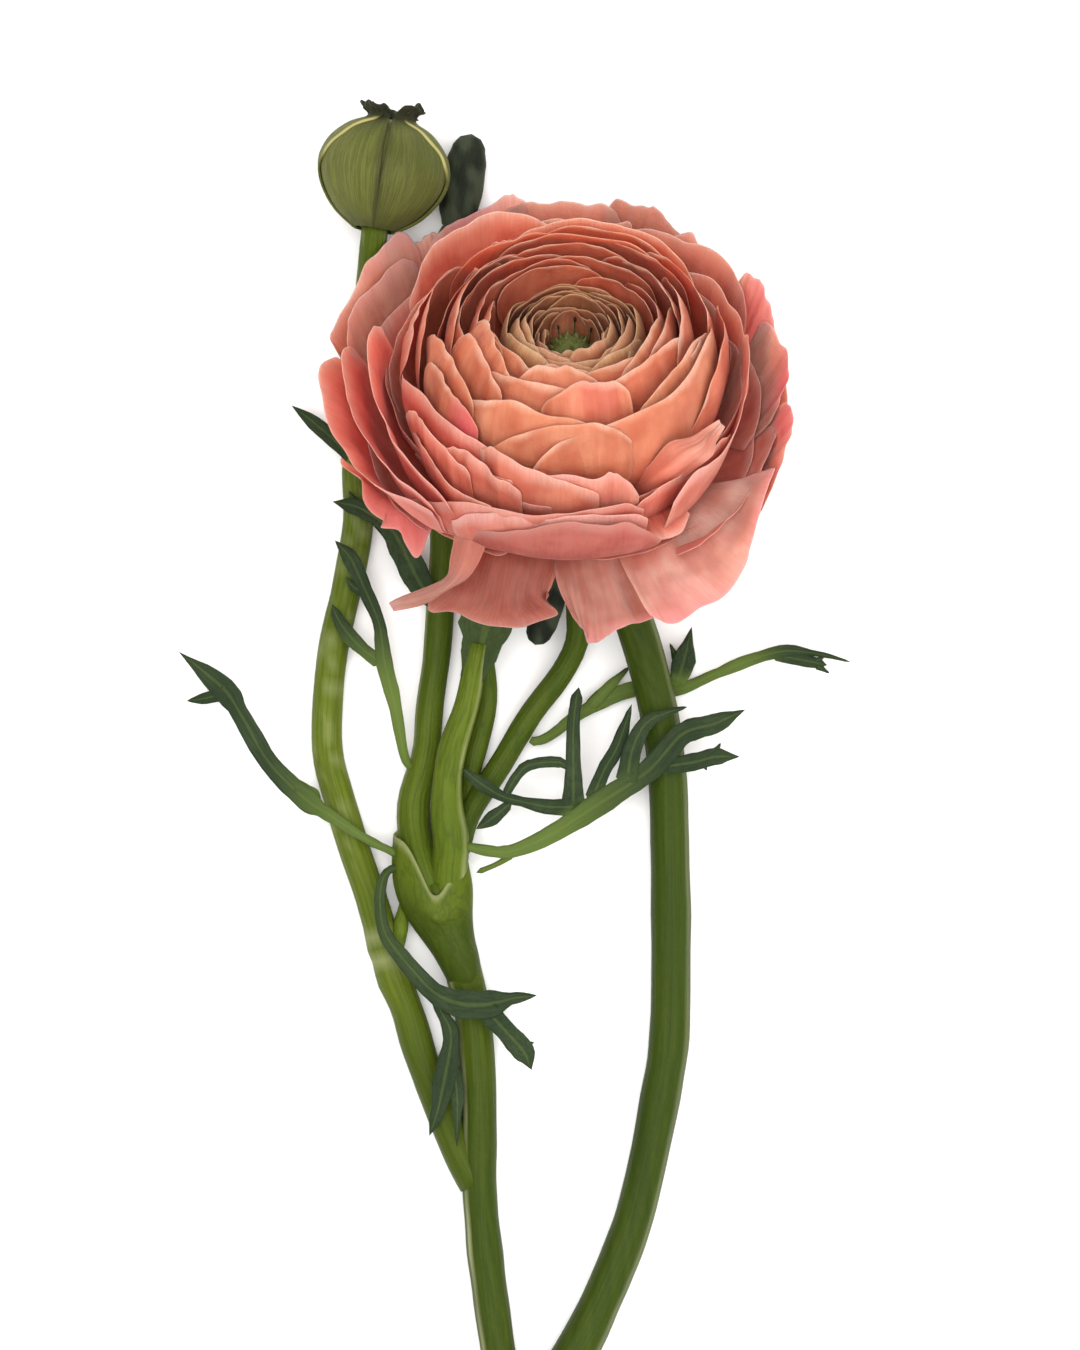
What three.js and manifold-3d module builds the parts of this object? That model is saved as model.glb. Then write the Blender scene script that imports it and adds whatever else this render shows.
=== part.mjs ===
// A cut ranunculus lying on a flat surface: one open bloom, three buds, their stems and leaves.
// Millimetres, +Z up. +Y runs from the cut end to the buds, and the origin is the middle of the footprint.
import * as THREE from 'three';
import { mergeVertices } from 'three/addons/utils/BufferGeometryUtils.js';
import Module from 'manifold-3d';

const wasm = await Module();
wasm.setup();

// Bloom
const bloomPlace = [4, 206.5, 19];
const bloomTilt = 45;
const petalThickness = 0.45;
const clawShare = 0.12;
const ballPetalCount = 10;
const goldenAngle = 137.508;
const ballShift = 1.4;
const seatGap = 0.3;

// Stems. Widths are [share of the length, radius].
const bloomStemRadius = 3.55;
const budStemRadius = 2.8;
const branchRadius = 3.2;
const shootRadius = 2.5;
const baseRadius = 4.2;
const bloomStemWidths = [[0, baseRadius], [0.12, baseRadius], [0.3, bloomStemRadius], [1, bloomStemRadius]];
const budStemWidths = [[0, 3], [0.2, 3], [0.24, 3.5], [0.28, 2.9], [0.7, budStemRadius], [1, 2.4]];
const branchWidths = [[0, branchRadius], [0.8, branchRadius], [1, 3.5]];
const leftShootWidths = [[0, shootRadius], [0.6, shootRadius], [1, 2]];
const rightShootWidths = [[0, shootRadius], [0.15, 2.9], [0.5, shootRadius], [1, 1.9]];
const crossShootWidths = [[0, 2], [0.2, 2.2], [0.8, 2.1], [1, 1.2]];
const backShootWidths = [[0, 1.5], [0.3, 1.9], [0.6, 1.6], [1, 0.5]];
const nodeShootWidths = [[0, 1.6], [0.5, 1.4], [1, 0.5]];
const stemSides = 8;
const ringSpacing = 8;

// Buds
const budPlace = [-28, 258.9, 11.9];
const budLean = 9;
const sepalThickness = 0.5;

// Leaves
const leafThickness = 0.7;

// ---------------------------------------------------------------- shared shapes

const radians = THREE.MathUtils.degToRad;
const mix = THREE.MathUtils.lerp;
const clamp = THREE.MathUtils.clamp;
const smooth = (low, high, x) => THREE.MathUtils.smoothstep(x, low, high);
const vector = ([x, y, z]) => new THREE.Vector3(x, y, z);

// Value at x of a line through the points [x, value], held beyond its ends.
function along(points, x) {
  let i = 1;
  while (i < points.length - 1 && x > points[i][0]) i += 1;
  const [x0, a] = points[i - 1];
  const [x1, b] = points[i];
  return mix(a, b, clamp((x - x0) / (x1 - x0), 0, 1));
}

// Closed geometry from corner points and faces, turned round if its faces point inwards.
function closedGeometry(corners, faces) {
  let volume = 0;
  for (const [a, b, c] of faces) {
    volume += corners[a].dot(new THREE.Vector3().crossVectors(corners[b], corners[c]));
  }
  const turned = volume < 0 ? faces.map(([a, b, c]) => [a, c, b]) : faces;
  const geometry = new THREE.BufferGeometry();
  geometry.setFromPoints(corners);
  geometry.setIndex(turned.flat());
  return geometry;
}

// A thin curved sheet with thickness. pointAt(s, t) gives its middle, s -1 to 1 across and t 0 to 1 along.
function sheetSolid(pointAt, across, rows, thickness) {
  const columns = across + 1;
  const step = 0.02;
  const front = [];
  const back = [];
  for (let j = 0; j <= rows; j += 1) {
    for (let i = 0; i <= across; i += 1) {
      const s = (2 * i) / across - 1;
      const t = j / rows;
      const alongEdge = pointAt(s, t + step).sub(pointAt(s, t - step));
      const acrossEdge = pointAt(s + step, t).sub(pointAt(s - step, t));
      const normal = acrossEdge.cross(alongEdge).normalize().multiplyScalar(thickness / 2);
      front.push(pointAt(s, t).add(normal));
      back.push(pointAt(s, t).sub(normal));
    }
  }
  const half = front.length;
  const faces = [];
  for (let j = 0; j < rows; j += 1) {
    for (let i = 0; i < across; i += 1) {
      const a = j * columns + i;
      const [b, c, d] = [a + 1, a + columns + 1, a + columns];
      faces.push([a, b, c], [a, c, d], [half + a, half + c, half + b], [half + a, half + d, half + c]);
    }
  }
  const rim = [];
  for (let i = 0; i < across; i += 1) rim.push(i);
  for (let j = 0; j < rows; j += 1) rim.push(j * columns + across);
  for (let i = across; i > 0; i -= 1) rim.push(rows * columns + i);
  for (let j = rows; j > 0; j -= 1) rim.push(j * columns);
  rim.forEach((a, n) => {
    const b = rim[(n + 1) % rim.length];
    faces.push([a, half + b, b], [a, half + a, half + b]);
  });
  return closedGeometry([...front, ...back], faces);
}

// A solid skin over a row of rings with equal numbers of points, closed by a fan at each end.
function loftSolid(rings) {
  const size = rings[0].length;
  const corners = rings.flat();
  const faces = [];
  for (let j = 0; j < rings.length - 1; j += 1) {
    for (let i = 0; i < size; i += 1) {
      const a = j * size + i;
      const b = j * size + ((i + 1) % size);
      faces.push([a, b, b + size], [a, b + size, a + size]);
    }
  }
  const last = (rings.length - 1) * size;
  for (let i = 1; i < size - 1; i += 1) {
    faces.push([0, i + 1, i], [last, last + i, last + i + 1]);
  }
  return closedGeometry(corners, faces);
}

// A round stem along a smooth path. widths are [share of the length, radius].
function stem(points, widths, sides = stemSides) {
  const path = new THREE.CatmullRomCurve3(points.map(vector));
  const steps = Math.max(4, Math.round(path.getLength() / ringSpacing));
  const round = new THREE.Shape();
  for (let i = 0; i <= sides; i += 1) {
    const turn = ((i + 0.5) / sides) * 2 * Math.PI;
    if (i === 0) round.moveTo(Math.cos(turn), Math.sin(turn));
    else round.lineTo(Math.cos(turn), Math.sin(turn));
  }
  const tube = new THREE.ExtrudeGeometry(round, { steps, extrudePath: path, bevelEnabled: false });
  const centres = path.getSpacedPoints(steps);
  const position = tube.getAttribute('position');
  const corner = new THREE.Vector3();
  for (let n = 0; n < position.count; n += 1) {
    corner.fromBufferAttribute(position, n);
    let ring = 0;
    centres.forEach((centre, i) => {
      if (Math.abs(centre.distanceTo(corner) - 1) < Math.abs(centres[ring].distanceTo(corner) - 1)) ring = i;
    });
    const radius = along(widths, ring / steps);
    corner.sub(centres[ring]).multiplyScalar(radius).add(centres[ring]);
    position.setXYZ(n, corner.x, corner.y, corner.z);
  }
  return tube;
}

function toSolid(geometry) {
  const bare = geometry.index ? geometry.toNonIndexed() : geometry.clone();
  bare.deleteAttribute('normal');
  bare.deleteAttribute('uv');
  const merged = mergeVertices(bare, 1e-4);
  return new wasm.Manifold(new wasm.Mesh({
    numProp: 3,
    vertProperties: merged.getAttribute('position').array,
    triVerts: new Uint32Array(merged.index.array),
  }));
}

function toGeometry(solid) {
  const { vertProperties, triVerts } = solid.getMesh();
  const geometry = new THREE.BufferGeometry();
  geometry.setAttribute('position', new THREE.BufferAttribute(vertProperties, 3));
  geometry.setIndex(new THREE.BufferAttribute(triVerts, 1));
  return geometry;
}

function joined(geometries) {
  return toGeometry(geometries.map(toSolid).reduce((whole, next) => whole.add(next)));
}

// The geometry without what lies inside its carriers.
function fitted(geometry, carriers) {
  const trimmed = carriers.map(toSolid).reduce((whole, carrier) => whole.subtract(carrier), toSolid(geometry));
  return toGeometry(trimmed);
}

const flower = new THREE.Group();
const bloom = new THREE.Group();
bloom.position.set(...bloomPlace);
bloom.rotation.x = -radians(bloomTilt);
flower.add(bloom);

function addPiece(name, geometry, look, holder = flower) {
  const mesh = new THREE.Mesh(geometry, new THREE.MeshStandardMaterial({ ...look, metalness: 0 }));
  mesh.name = name;
  holder.add(mesh);
  return mesh;
}

const looks = {
  centre: { color: '#6f8a45', roughness: 0.7 },
  heart: { color: '#d8b083', roughness: 0.6 },
  ball: { color: '#ef9f7b', roughness: 0.55 },
  outer: { color: '#ea8b76', roughness: 0.55 },
  stem: { color: '#6b8c1f', roughness: 0.5 },
  shoot: { color: '#7c9a28', roughness: 0.5 },
  leaf: { color: '#3c5230', roughness: 0.6 },
  bud: { color: '#75853f', roughness: 0.65 },
  darkBud: { color: '#2f3a2a', roughness: 0.7 },
};

// ---------------------------------------------------------------- bloom

// The petals are nested layers, 0 around the eye to 1 outermost. Each layer is a curve in the plane of the
// bloom's axis, from the stem head outwards: four control points [radius, height] for the back and the front.
const closedLayers = [
  { layer: 0, curve: [[2.3, 11], [14.5, 12.5], [17.5, 28], [11.8, 33.5]] },
  { layer: 0.3, curve: [[3.2, 8.5], [22, 9.5], [24.5, 28], [17.5, 35.5]] },
  { layer: 0.52, curve: [[4, 6], [28, 6.5], [29.5, 25], [24, 34.5]] },
];
const backLayers = [
  ...closedLayers,
  { layer: 0.7, curve: [[4.6, 4.2], [31, 3.6], [33.5, 19], [32, 33]] },
  { layer: 0.85, curve: [[5, 2.4], [34, 0.2], [37, 12], [38, 28.5]] },
  { layer: 1, curve: [[5.4, 0.6], [36.5, -3.6], [42, 5], [45, 23.5]] },
];
const frontLayers = [
  ...closedLayers,
  { layer: 0.7, curve: [[4.6, 4.2], [31, 3], [33.5, 15], [33, 25]] },
  { layer: 0.85, curve: [[5, 2.4], [34, -0.2], [38, 9], [37.5, 19]] },
  { layer: 1, curve: [[5.4, 0.6], [33, -3.4], [45.5, 4], [45, -4]] },
];

function layerCurve(layers, layer) {
  let i = 1;
  while (i < layers.length - 1 && layer > layers[i].layer) i += 1;
  const [low, high] = [layers[i - 1], layers[i]];
  const share = (layer - low.layer) / (high.layer - low.layer);
  return low.curve.map(([r, w], n) => [mix(r, high.curve[n][0], share), mix(w, high.curve[n][1], share)]);
}

// Radius and height of a layer at an angle round the axis (0 right, 90 back) and a share t of its length.
function petalSection(layer, angle, t) {
  const front = smooth(0.05, 0.95, -Math.sin(angle));
  const back = layerCurve(backLayers, layer);
  const drooped = layerCurve(frontLayers, layer);
  const u = 1 - t;
  const weights = [u * u * u, 3 * u * u * t, 3 * u * t * t, t * t * t];
  const sum = (axis) => weights.reduce((total, weight, n) => (
    total + weight * mix(back[n][axis], drooped[n][axis], front)), 0);
  return [sum(0), sum(1)];
}

function petal({ layer, azimuth, width, reach }) {
  const middle = radians(azimuth);
  const shift = ballShift * (1 - layer);
  const pointAt = (s, t) => {
    const rounding = 1 - 0.3 * Math.abs(s) ** 2.6 * t;
    const share = t * reach * rounding;
    const [middleRadius] = petalSection(layer, middle, share);
    const spread = width * mix(clawShare, 1, smooth(0, 0.68, share));
    const angle = middle + (s * spread) / Math.max(middleRadius, 9);
    const [r, w] = petalSection(layer, angle, share);
    const growing = smooth(0, 0.5, share);
    return new THREE.Vector3(r * Math.cos(angle) + shift * growing, r * Math.sin(angle), w);
  };
  return sheetSolid(pointAt, 6, 5, petalThickness);
}

function lathe(profile, segments) {
  const geometry = new THREE.LatheGeometry(profile.map(([r, w]) => new THREE.Vector2(r, w)), segments);
  geometry.rotateX(Math.PI / 2);
  return geometry;
}

const stemHead = lathe([[0, -4], [3.6, -4], [4.7, -0.6], [4.4, 1.2], [1.5, 11.2], [0, 11.4]], 12);

// The middle of the bloom leans to the right, as its inner petals do.
function leaning(geometry) {
  const position = geometry.getAttribute('position');
  for (let n = 0; n < position.count; n += 1) {
    position.setX(n, position.getX(n) + ballShift * smooth(12, 23, position.getZ(n)));
  }
  return geometry;
}

addPiece('flower_centre', leaning(lathe([
  [0, 11.8], [1.6, 11.8], [2.4, 16], [4.6, 24], [4.4, 27.5], [2.4, 29.5], [0, 30]], 12)), looks.centre, bloom);

addPiece('heart_petals', leaning(lathe([
  [2.0, 12.6], [5.4, 15], [10.4, 19.5], [12, 25.5], [11, 30.5], [9.4, 32.6], [7.4, 32], [6.4, 28], [5.6, 23],
  [3.6, 17], [2.6, 15], [2.0, 12.6]], 16)), looks.heart, bloom);

for (let i = 0; i < ballPetalCount; i += 1) {
  const share = i / (ballPetalCount - 1);
  const layer = mix(0.06, 0.54, share);
  const azimuth = 200 + i * goldenAngle;
  const width = mix(13, 21, share);
  const reach = mix(0.96, 0.9, share);
  const name = `ball_petal_${String(i + 1).padStart(2, '0')}`;
  addPiece(name, petal({ layer, azimuth, width, reach }), looks.ball, bloom);
}

// Opened petals, innermost first: [layer, azimuth, half width, reach].
const openPetals = [
  [0.585, 205, 20, 0.96], [0.61, 75, 20, 0.98], [0.635, 322, 17, 0.9], [0.655, 150, 20, 0.95],
  [0.68, 225, 20, 0.97], [0.7, 20, 21, 0.97], [0.725, 268, 20, 0.98], [0.745, 112, 21, 1],
  [0.77, 190, 21, 0.98], [0.79, 345, 21, 0.96], [0.815, 240, 22, 1], [0.835, 55, 22, 0.99],
  [0.86, 160, 22, 1], [0.88, 8, 22, 1], [0.905, 97, 23, 1], [0.925, 313, 25, 1.02],
  [0.95, 214, 20, 1], [0.975, 281, 15, 1.04], [1, 248, 20, 0.94],
];
openPetals.forEach(([layer, azimuth, width, reach], i) => {
  const name = `open_petal_${String(i + 1).padStart(2, '0')}`;
  addPiece(name, petal({ layer, azimuth, width, reach }), looks.outer, bloom);
});

// Five sepals under the petals, bent back.
const sepalCurve = new THREE.CubicBezierCurve(
  new THREE.Vector2(5.4, -0.9), new THREE.Vector2(10, -2.6), new THREE.Vector2(15, -3.6), new THREE.Vector2(20, -6.5));
for (let i = 0; i < 5; i += 1) {
  const middle = radians(18 + i * 72);
  const sepal = sheetSolid((s, t) => {
    const { x: r, y: w } = sepalCurve.getPoint(t);
    const spread = 5.2 * Math.sin(Math.PI * mix(0.16, 0.9, clamp(t, 0, 1)));
    const angle = middle + (s * spread) / Math.max(r, 6);
    return new THREE.Vector3(r * Math.cos(angle), r * Math.sin(angle), w);
  }, 4, 4, sepalThickness);
  addPiece(`bloom_sepal_${i + 1}`, sepal, looks.stem, bloom);
}

// ---------------------------------------------------------------- stems

// The stem head in the flower's frame: it ends the bloom stem and carries the petals.
bloom.updateMatrix();
stemHead.applyMatrix4(bloom.matrix);

const bloomStemPath = [
  [-3.6, 0, 4.3], [-3.8, 13.5, 4.2], [-2.5, 24.3, 4.1], [1.8, 36.9, 4], [9.4, 51.4, 3.8], [15.6, 65.9, 3.7],
  [18.7, 76.7, 3.6], [22.1, 93.6, 3.6], [23.4, 103.2, 3.6], [23.7, 118, 3.6], [23.4, 140.1, 3.8], [22.9, 151, 4.8],
  [21.1, 162.8, 6.3], [17.3, 176.7, 7.9], [12.6, 187.5, 9.6], [7.6, 196.8, 11.6], [4.4, 202, 14.6],
  [4, 204.4, 16.9],
];
const bloomStem = joined([
  stem(bloomStemPath, bloomStemWidths),
  stemHead,
]);
addPiece('bloom_stem', bloomStem, looks.stem);

const swollen = (points, widths) => stem(points, widths.map(([share, radius]) => [share, radius + seatGap]));

const bloomStemRoom = swollen(bloomStemPath, bloomStemWidths);
const branchPath = [
  [-2.8, 27, 4.4], [-5.4, 33.5, 4.2], [-7.6, 46, 4], [-9.8, 62.3, 3.8], [-10.9, 75, 3.7], [-11, 82.5, 3.6],
  [-11.2, 95.6, 3.5], [-12.3, 107.2, 3.5], [-14, 115, 3.7], [-15.6, 120, 4],
];

// The side stem opens into a flattened sheath, which holds the feet of two shoots.
// Its rings are [x, y, z, half width, half depth].
const sheathRings = [
  [-15, 118.5, 3.9, 3.3, 3.2], [-16.2, 123, 4.2, 3.9, 3.5], [-17.6, 128, 4.8, 5, 4], [-19, 133, 5.3, 6.1, 4.4],
  [-19.8, 136.5, 5.6, 6.3, 4.3],
];
function sheath(room) {
  const rings = sheathRings.map(([x, y, z, halfWidth, halfDepth]) => {
    const ring = [];
    for (let i = 0; i < 12; i += 1) {
      const turn = (i / 12) * 2 * Math.PI;
      ring.push(new THREE.Vector3(
        x + (halfWidth + room) * Math.cos(turn),
        y + 0.2 * halfWidth * Math.cos(turn),
        z + (halfDepth + room) * Math.sin(turn),
      ));
    }
    return ring;
  });
  if (room > 0) rings.push(rings.at(-1).map((corner) => corner.clone().add(new THREE.Vector3(0, room, 0))));
  return loftSolid(rings);
}
const branchRoom = toGeometry(toSolid(swollen(branchPath, branchWidths)).add(toSolid(sheath(seatGap))));
addPiece('branch_stem', fitted(joined([stem(branchPath, branchWidths), sheath(0)]), [bloomStemRoom]), looks.stem);

const budStemPath = [
  [-11.6, 76, 3.6], [-15.2, 83, 3.1], [-18.6, 91.5, 3], [-21.6, 99.3, 3], [-23.9, 107.1, 3.1], [-26.8, 114.7, 3.2],
  [-30.4, 127.4, 3], [-33.5, 136.3, 2.9], [-36.2, 145.2, 2.8], [-38.4, 153.9, 2.8], [-38.4, 163.7, 2.8],
  [-37.3, 173.6, 2.8], [-34.8, 184.7, 2.8], [-32.9, 196, 2.8], [-33.1, 206, 2.8], [-32.6, 222, 3.2],
  [-31.2, 234.5, 5.4], [-30.3, 243, 9.6], [-29.5, 249.3, 11.8],
];
addPiece('bud_stem', fitted(stem(budStemPath, budStemWidths), [branchRoom]), looks.stem);
const budStemRoom = swollen(budStemPath, budStemWidths);

const leftShootPath = [
  [-21.2, 133, 4.8], [-22.4, 138, 3.5], [-22.8, 145.2, 2.7], [-20.7, 153.9, 2.5],
  [-19.9, 162.7, 2.5], [-18.7, 171.4, 2.5], [-18.1, 180.3, 2.5], [-17.4, 192.7, 2.5], [-18, 203.5, 2.5],
  [-19.4, 218, 2.4], [-19.8, 230.7, 2.4], [-18.6, 243.1, 2.6], [-16, 248.6, 3.4],
];
addPiece('left_shoot', fitted(stem(leftShootPath, leftShootWidths), [branchRoom, budStemRoom]), looks.shoot);
const leftShootRoom = swollen(leftShootPath, leftShootWidths);

const rightShootPath = [
  [-16.8, 132, 6.2], [-16, 138, 7.8], [-16.8, 145.3, 8.4], [-16, 153.9, 8.3],
  [-13.2, 162.8, 8.2], [-12, 169, 8.6], [-11.2, 174, 9.2],
];
addPiece('right_shoot', fitted(stem(rightShootPath, rightShootWidths), [branchRoom, leftShootRoom]), looks.shoot);
const rightShootRoom = swollen(rightShootPath, rightShootWidths);

const crossShootPath = [
  [-14.6, 136.5, 5.6], [-12.6, 143.5, 4], [-7.2, 151.9, 3.2], [-1.8, 160.9, 3], [3.6, 168, 3.2], [6.6, 174, 4],
  [6.6, 180, 5.6], [5.6, 185, 7.8], [3.8, 187.6, 9.6],
];
addPiece('cross_shoot', fitted(stem(crossShootPath, crossShootWidths), [rightShootRoom, branchRoom]), looks.shoot);
const crossShootRoom = swollen(crossShootPath, crossShootWidths);

const backShootPath = [
  [-13.4, 143.6, 3.6], [-12.3, 151.7, 2.4], [-9.6, 162.7, 2.3], [-9.8, 170.2, 2.5], [-10.5, 178, 3],
  [-11.6, 183.5, 3.6],
];
addPiece('back_shoot', fitted(stem(backShootPath, backShootWidths), [crossShootRoom]), looks.shoot);

const nodeShootPath = [[-27, 116.5, 4.2], [-25.6, 121, 4.4], [-24.9, 125.5, 4.2], [-24.8, 128.5, 3.8]];
addPiece('node_shoot', fitted(stem(nodeShootPath, nodeShootWidths, 6), [budStemRoom, leftShootRoom]), looks.shoot);

// ---------------------------------------------------------------- buds

const budBall = new THREE.Group();
budBall.position.set(...budPlace);
budBall.rotation.order = 'ZYX';
budBall.rotation.set(-Math.PI / 2, 0, -radians(budLean));
flower.add(budBall);

addPiece('bud_body', lathe([
  [0, -9.2], [3.4, -8.9], [7.4, -6.6], [9.7, -2.4], [10.1, 1], [8.8, 4.8], [5.8, 7.8], [2.6, 8.8], [0, 8.9]], 14),
looks.bud, budBall);

// Bud sepals lie on two skins round the ball, one just outside the other, and stand up in a tuft on top.
const budSkin = new THREE.SplineCurve([
  new THREE.Vector2(3, -10), new THREE.Vector2(8, -7.4), new THREE.Vector2(10.8, -1.6), new THREE.Vector2(10.2, 3.6),
  new THREE.Vector2(7, 7.8), new THREE.Vector2(3.9, 9.9), new THREE.Vector2(4.4, 12.6),
]);
const budSepals = [
  ['bud_sepal_front_left', 234, 33, 1], ['bud_sepal_front_right', 306, 33, 1], ['bud_sepal_back', 90, 38, 1],
  ['bud_sepal_left', 172, 37, 1.075], ['bud_sepal_right', 8, 37, 1.075],
];
budSepals.forEach(([name, azimuth, halfAngle, skin]) => {
  const geometry = sheetSolid((s, t) => {
    const share = clamp(t, -0.05, 1.05) * (1 - 0.12 * s * s * t);
    const { x: r, y: w } = budSkin.getPoint(clamp(share, 0, 1));
    const narrowing = 0.75 + 0.25 * smooth(0, 0.35, share) - 0.35 * smooth(0.55, 1, share);
    const angle = radians(azimuth + s * halfAngle * narrowing);
    return new THREE.Vector3(r * Math.cos(angle), r * Math.sin(angle), w).multiplyScalar(skin);
  }, 5, 7, sepalThickness);
  addPiece(name, geometry, looks.bud, budBall);
});

// An egg-shaped closed bud from its base to its tip.
function closedBud(base, tip, radius, flatness = 1) {
  const length = base.distanceTo(tip);
  const rings = [];
  const axis = tip.clone().sub(base).normalize();
  const side = new THREE.Vector3().crossVectors(axis, new THREE.Vector3(0, 0, 1)).normalize();
  const up = new THREE.Vector3().crossVectors(side, axis);
  const outline = [[0, 0.3], [0.08, 0.6], [0.25, 0.92], [0.45, 1], [0.7, 0.86], [0.88, 0.58], [1, 0.2]];
  outline.forEach(([share, width]) => {
    const centre = base.clone().addScaledVector(axis, length * share);
    const ring = [];
    for (let i = 0; i < 10; i += 1) {
      const turn = (i / 10) * 2 * Math.PI;
      ring.push(centre.clone()
        .addScaledVector(side, radius * width * Math.cos(turn))
        .addScaledVector(up, radius * flatness * width * Math.sin(turn)));
    }
    rings.push(ring);
  });
  return loftSolid(rings);
}

const smallBud = closedBud(vector([-15.6, 248.4, 3.6]), vector([-12.4, 265.6, 3.9]), 3.7, 0.9);
addPiece('small_bud', fitted(smallBud, [leftShootRoom]), looks.darkBud);

const noddingBud = closedBud(vector([3.4, 187, 9.8]), vector([-0.7, 174.1, 8.4]), 2.8);
addPiece('nodding_bud', fitted(noddingBud, [crossShootRoom]), looks.darkBud);

// ---------------------------------------------------------------- leaves

// One finger of a leaf: a tapering strip with a low ridge. points are [x, y, z, half width].
function leafFinger(points) {
  const path = new THREE.CatmullRomCurve3(points.map(vector));
  const spans = points.length - 1;
  const count = Math.max(3, Math.round(spans * 1.5));
  const widths = points.map((point, i) => [i / spans, point[3]]);
  const rings = [];
  for (let i = 0; i <= count; i += 1) {
    const share = i / count;
    const centre = path.getPoint(share);
    const forward = path.getTangent(share);
    const side = new THREE.Vector3(0, 0, 1).cross(forward).normalize();
    const up = new THREE.Vector3().crossVectors(forward, side);
    const halfWidth = along(widths, share);
    const halfDepth = (leafThickness / 2) * clamp(halfWidth / 0.8, 0.35, 1);
    rings.push([
      centre.clone().addScaledVector(side, -halfWidth),
      centre.clone().addScaledVector(up, halfDepth),
      centre.clone().addScaledVector(side, halfWidth),
      centre.clone().addScaledVector(up, -halfDepth),
    ]);
  }
  return loftSolid(rings);
}

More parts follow.
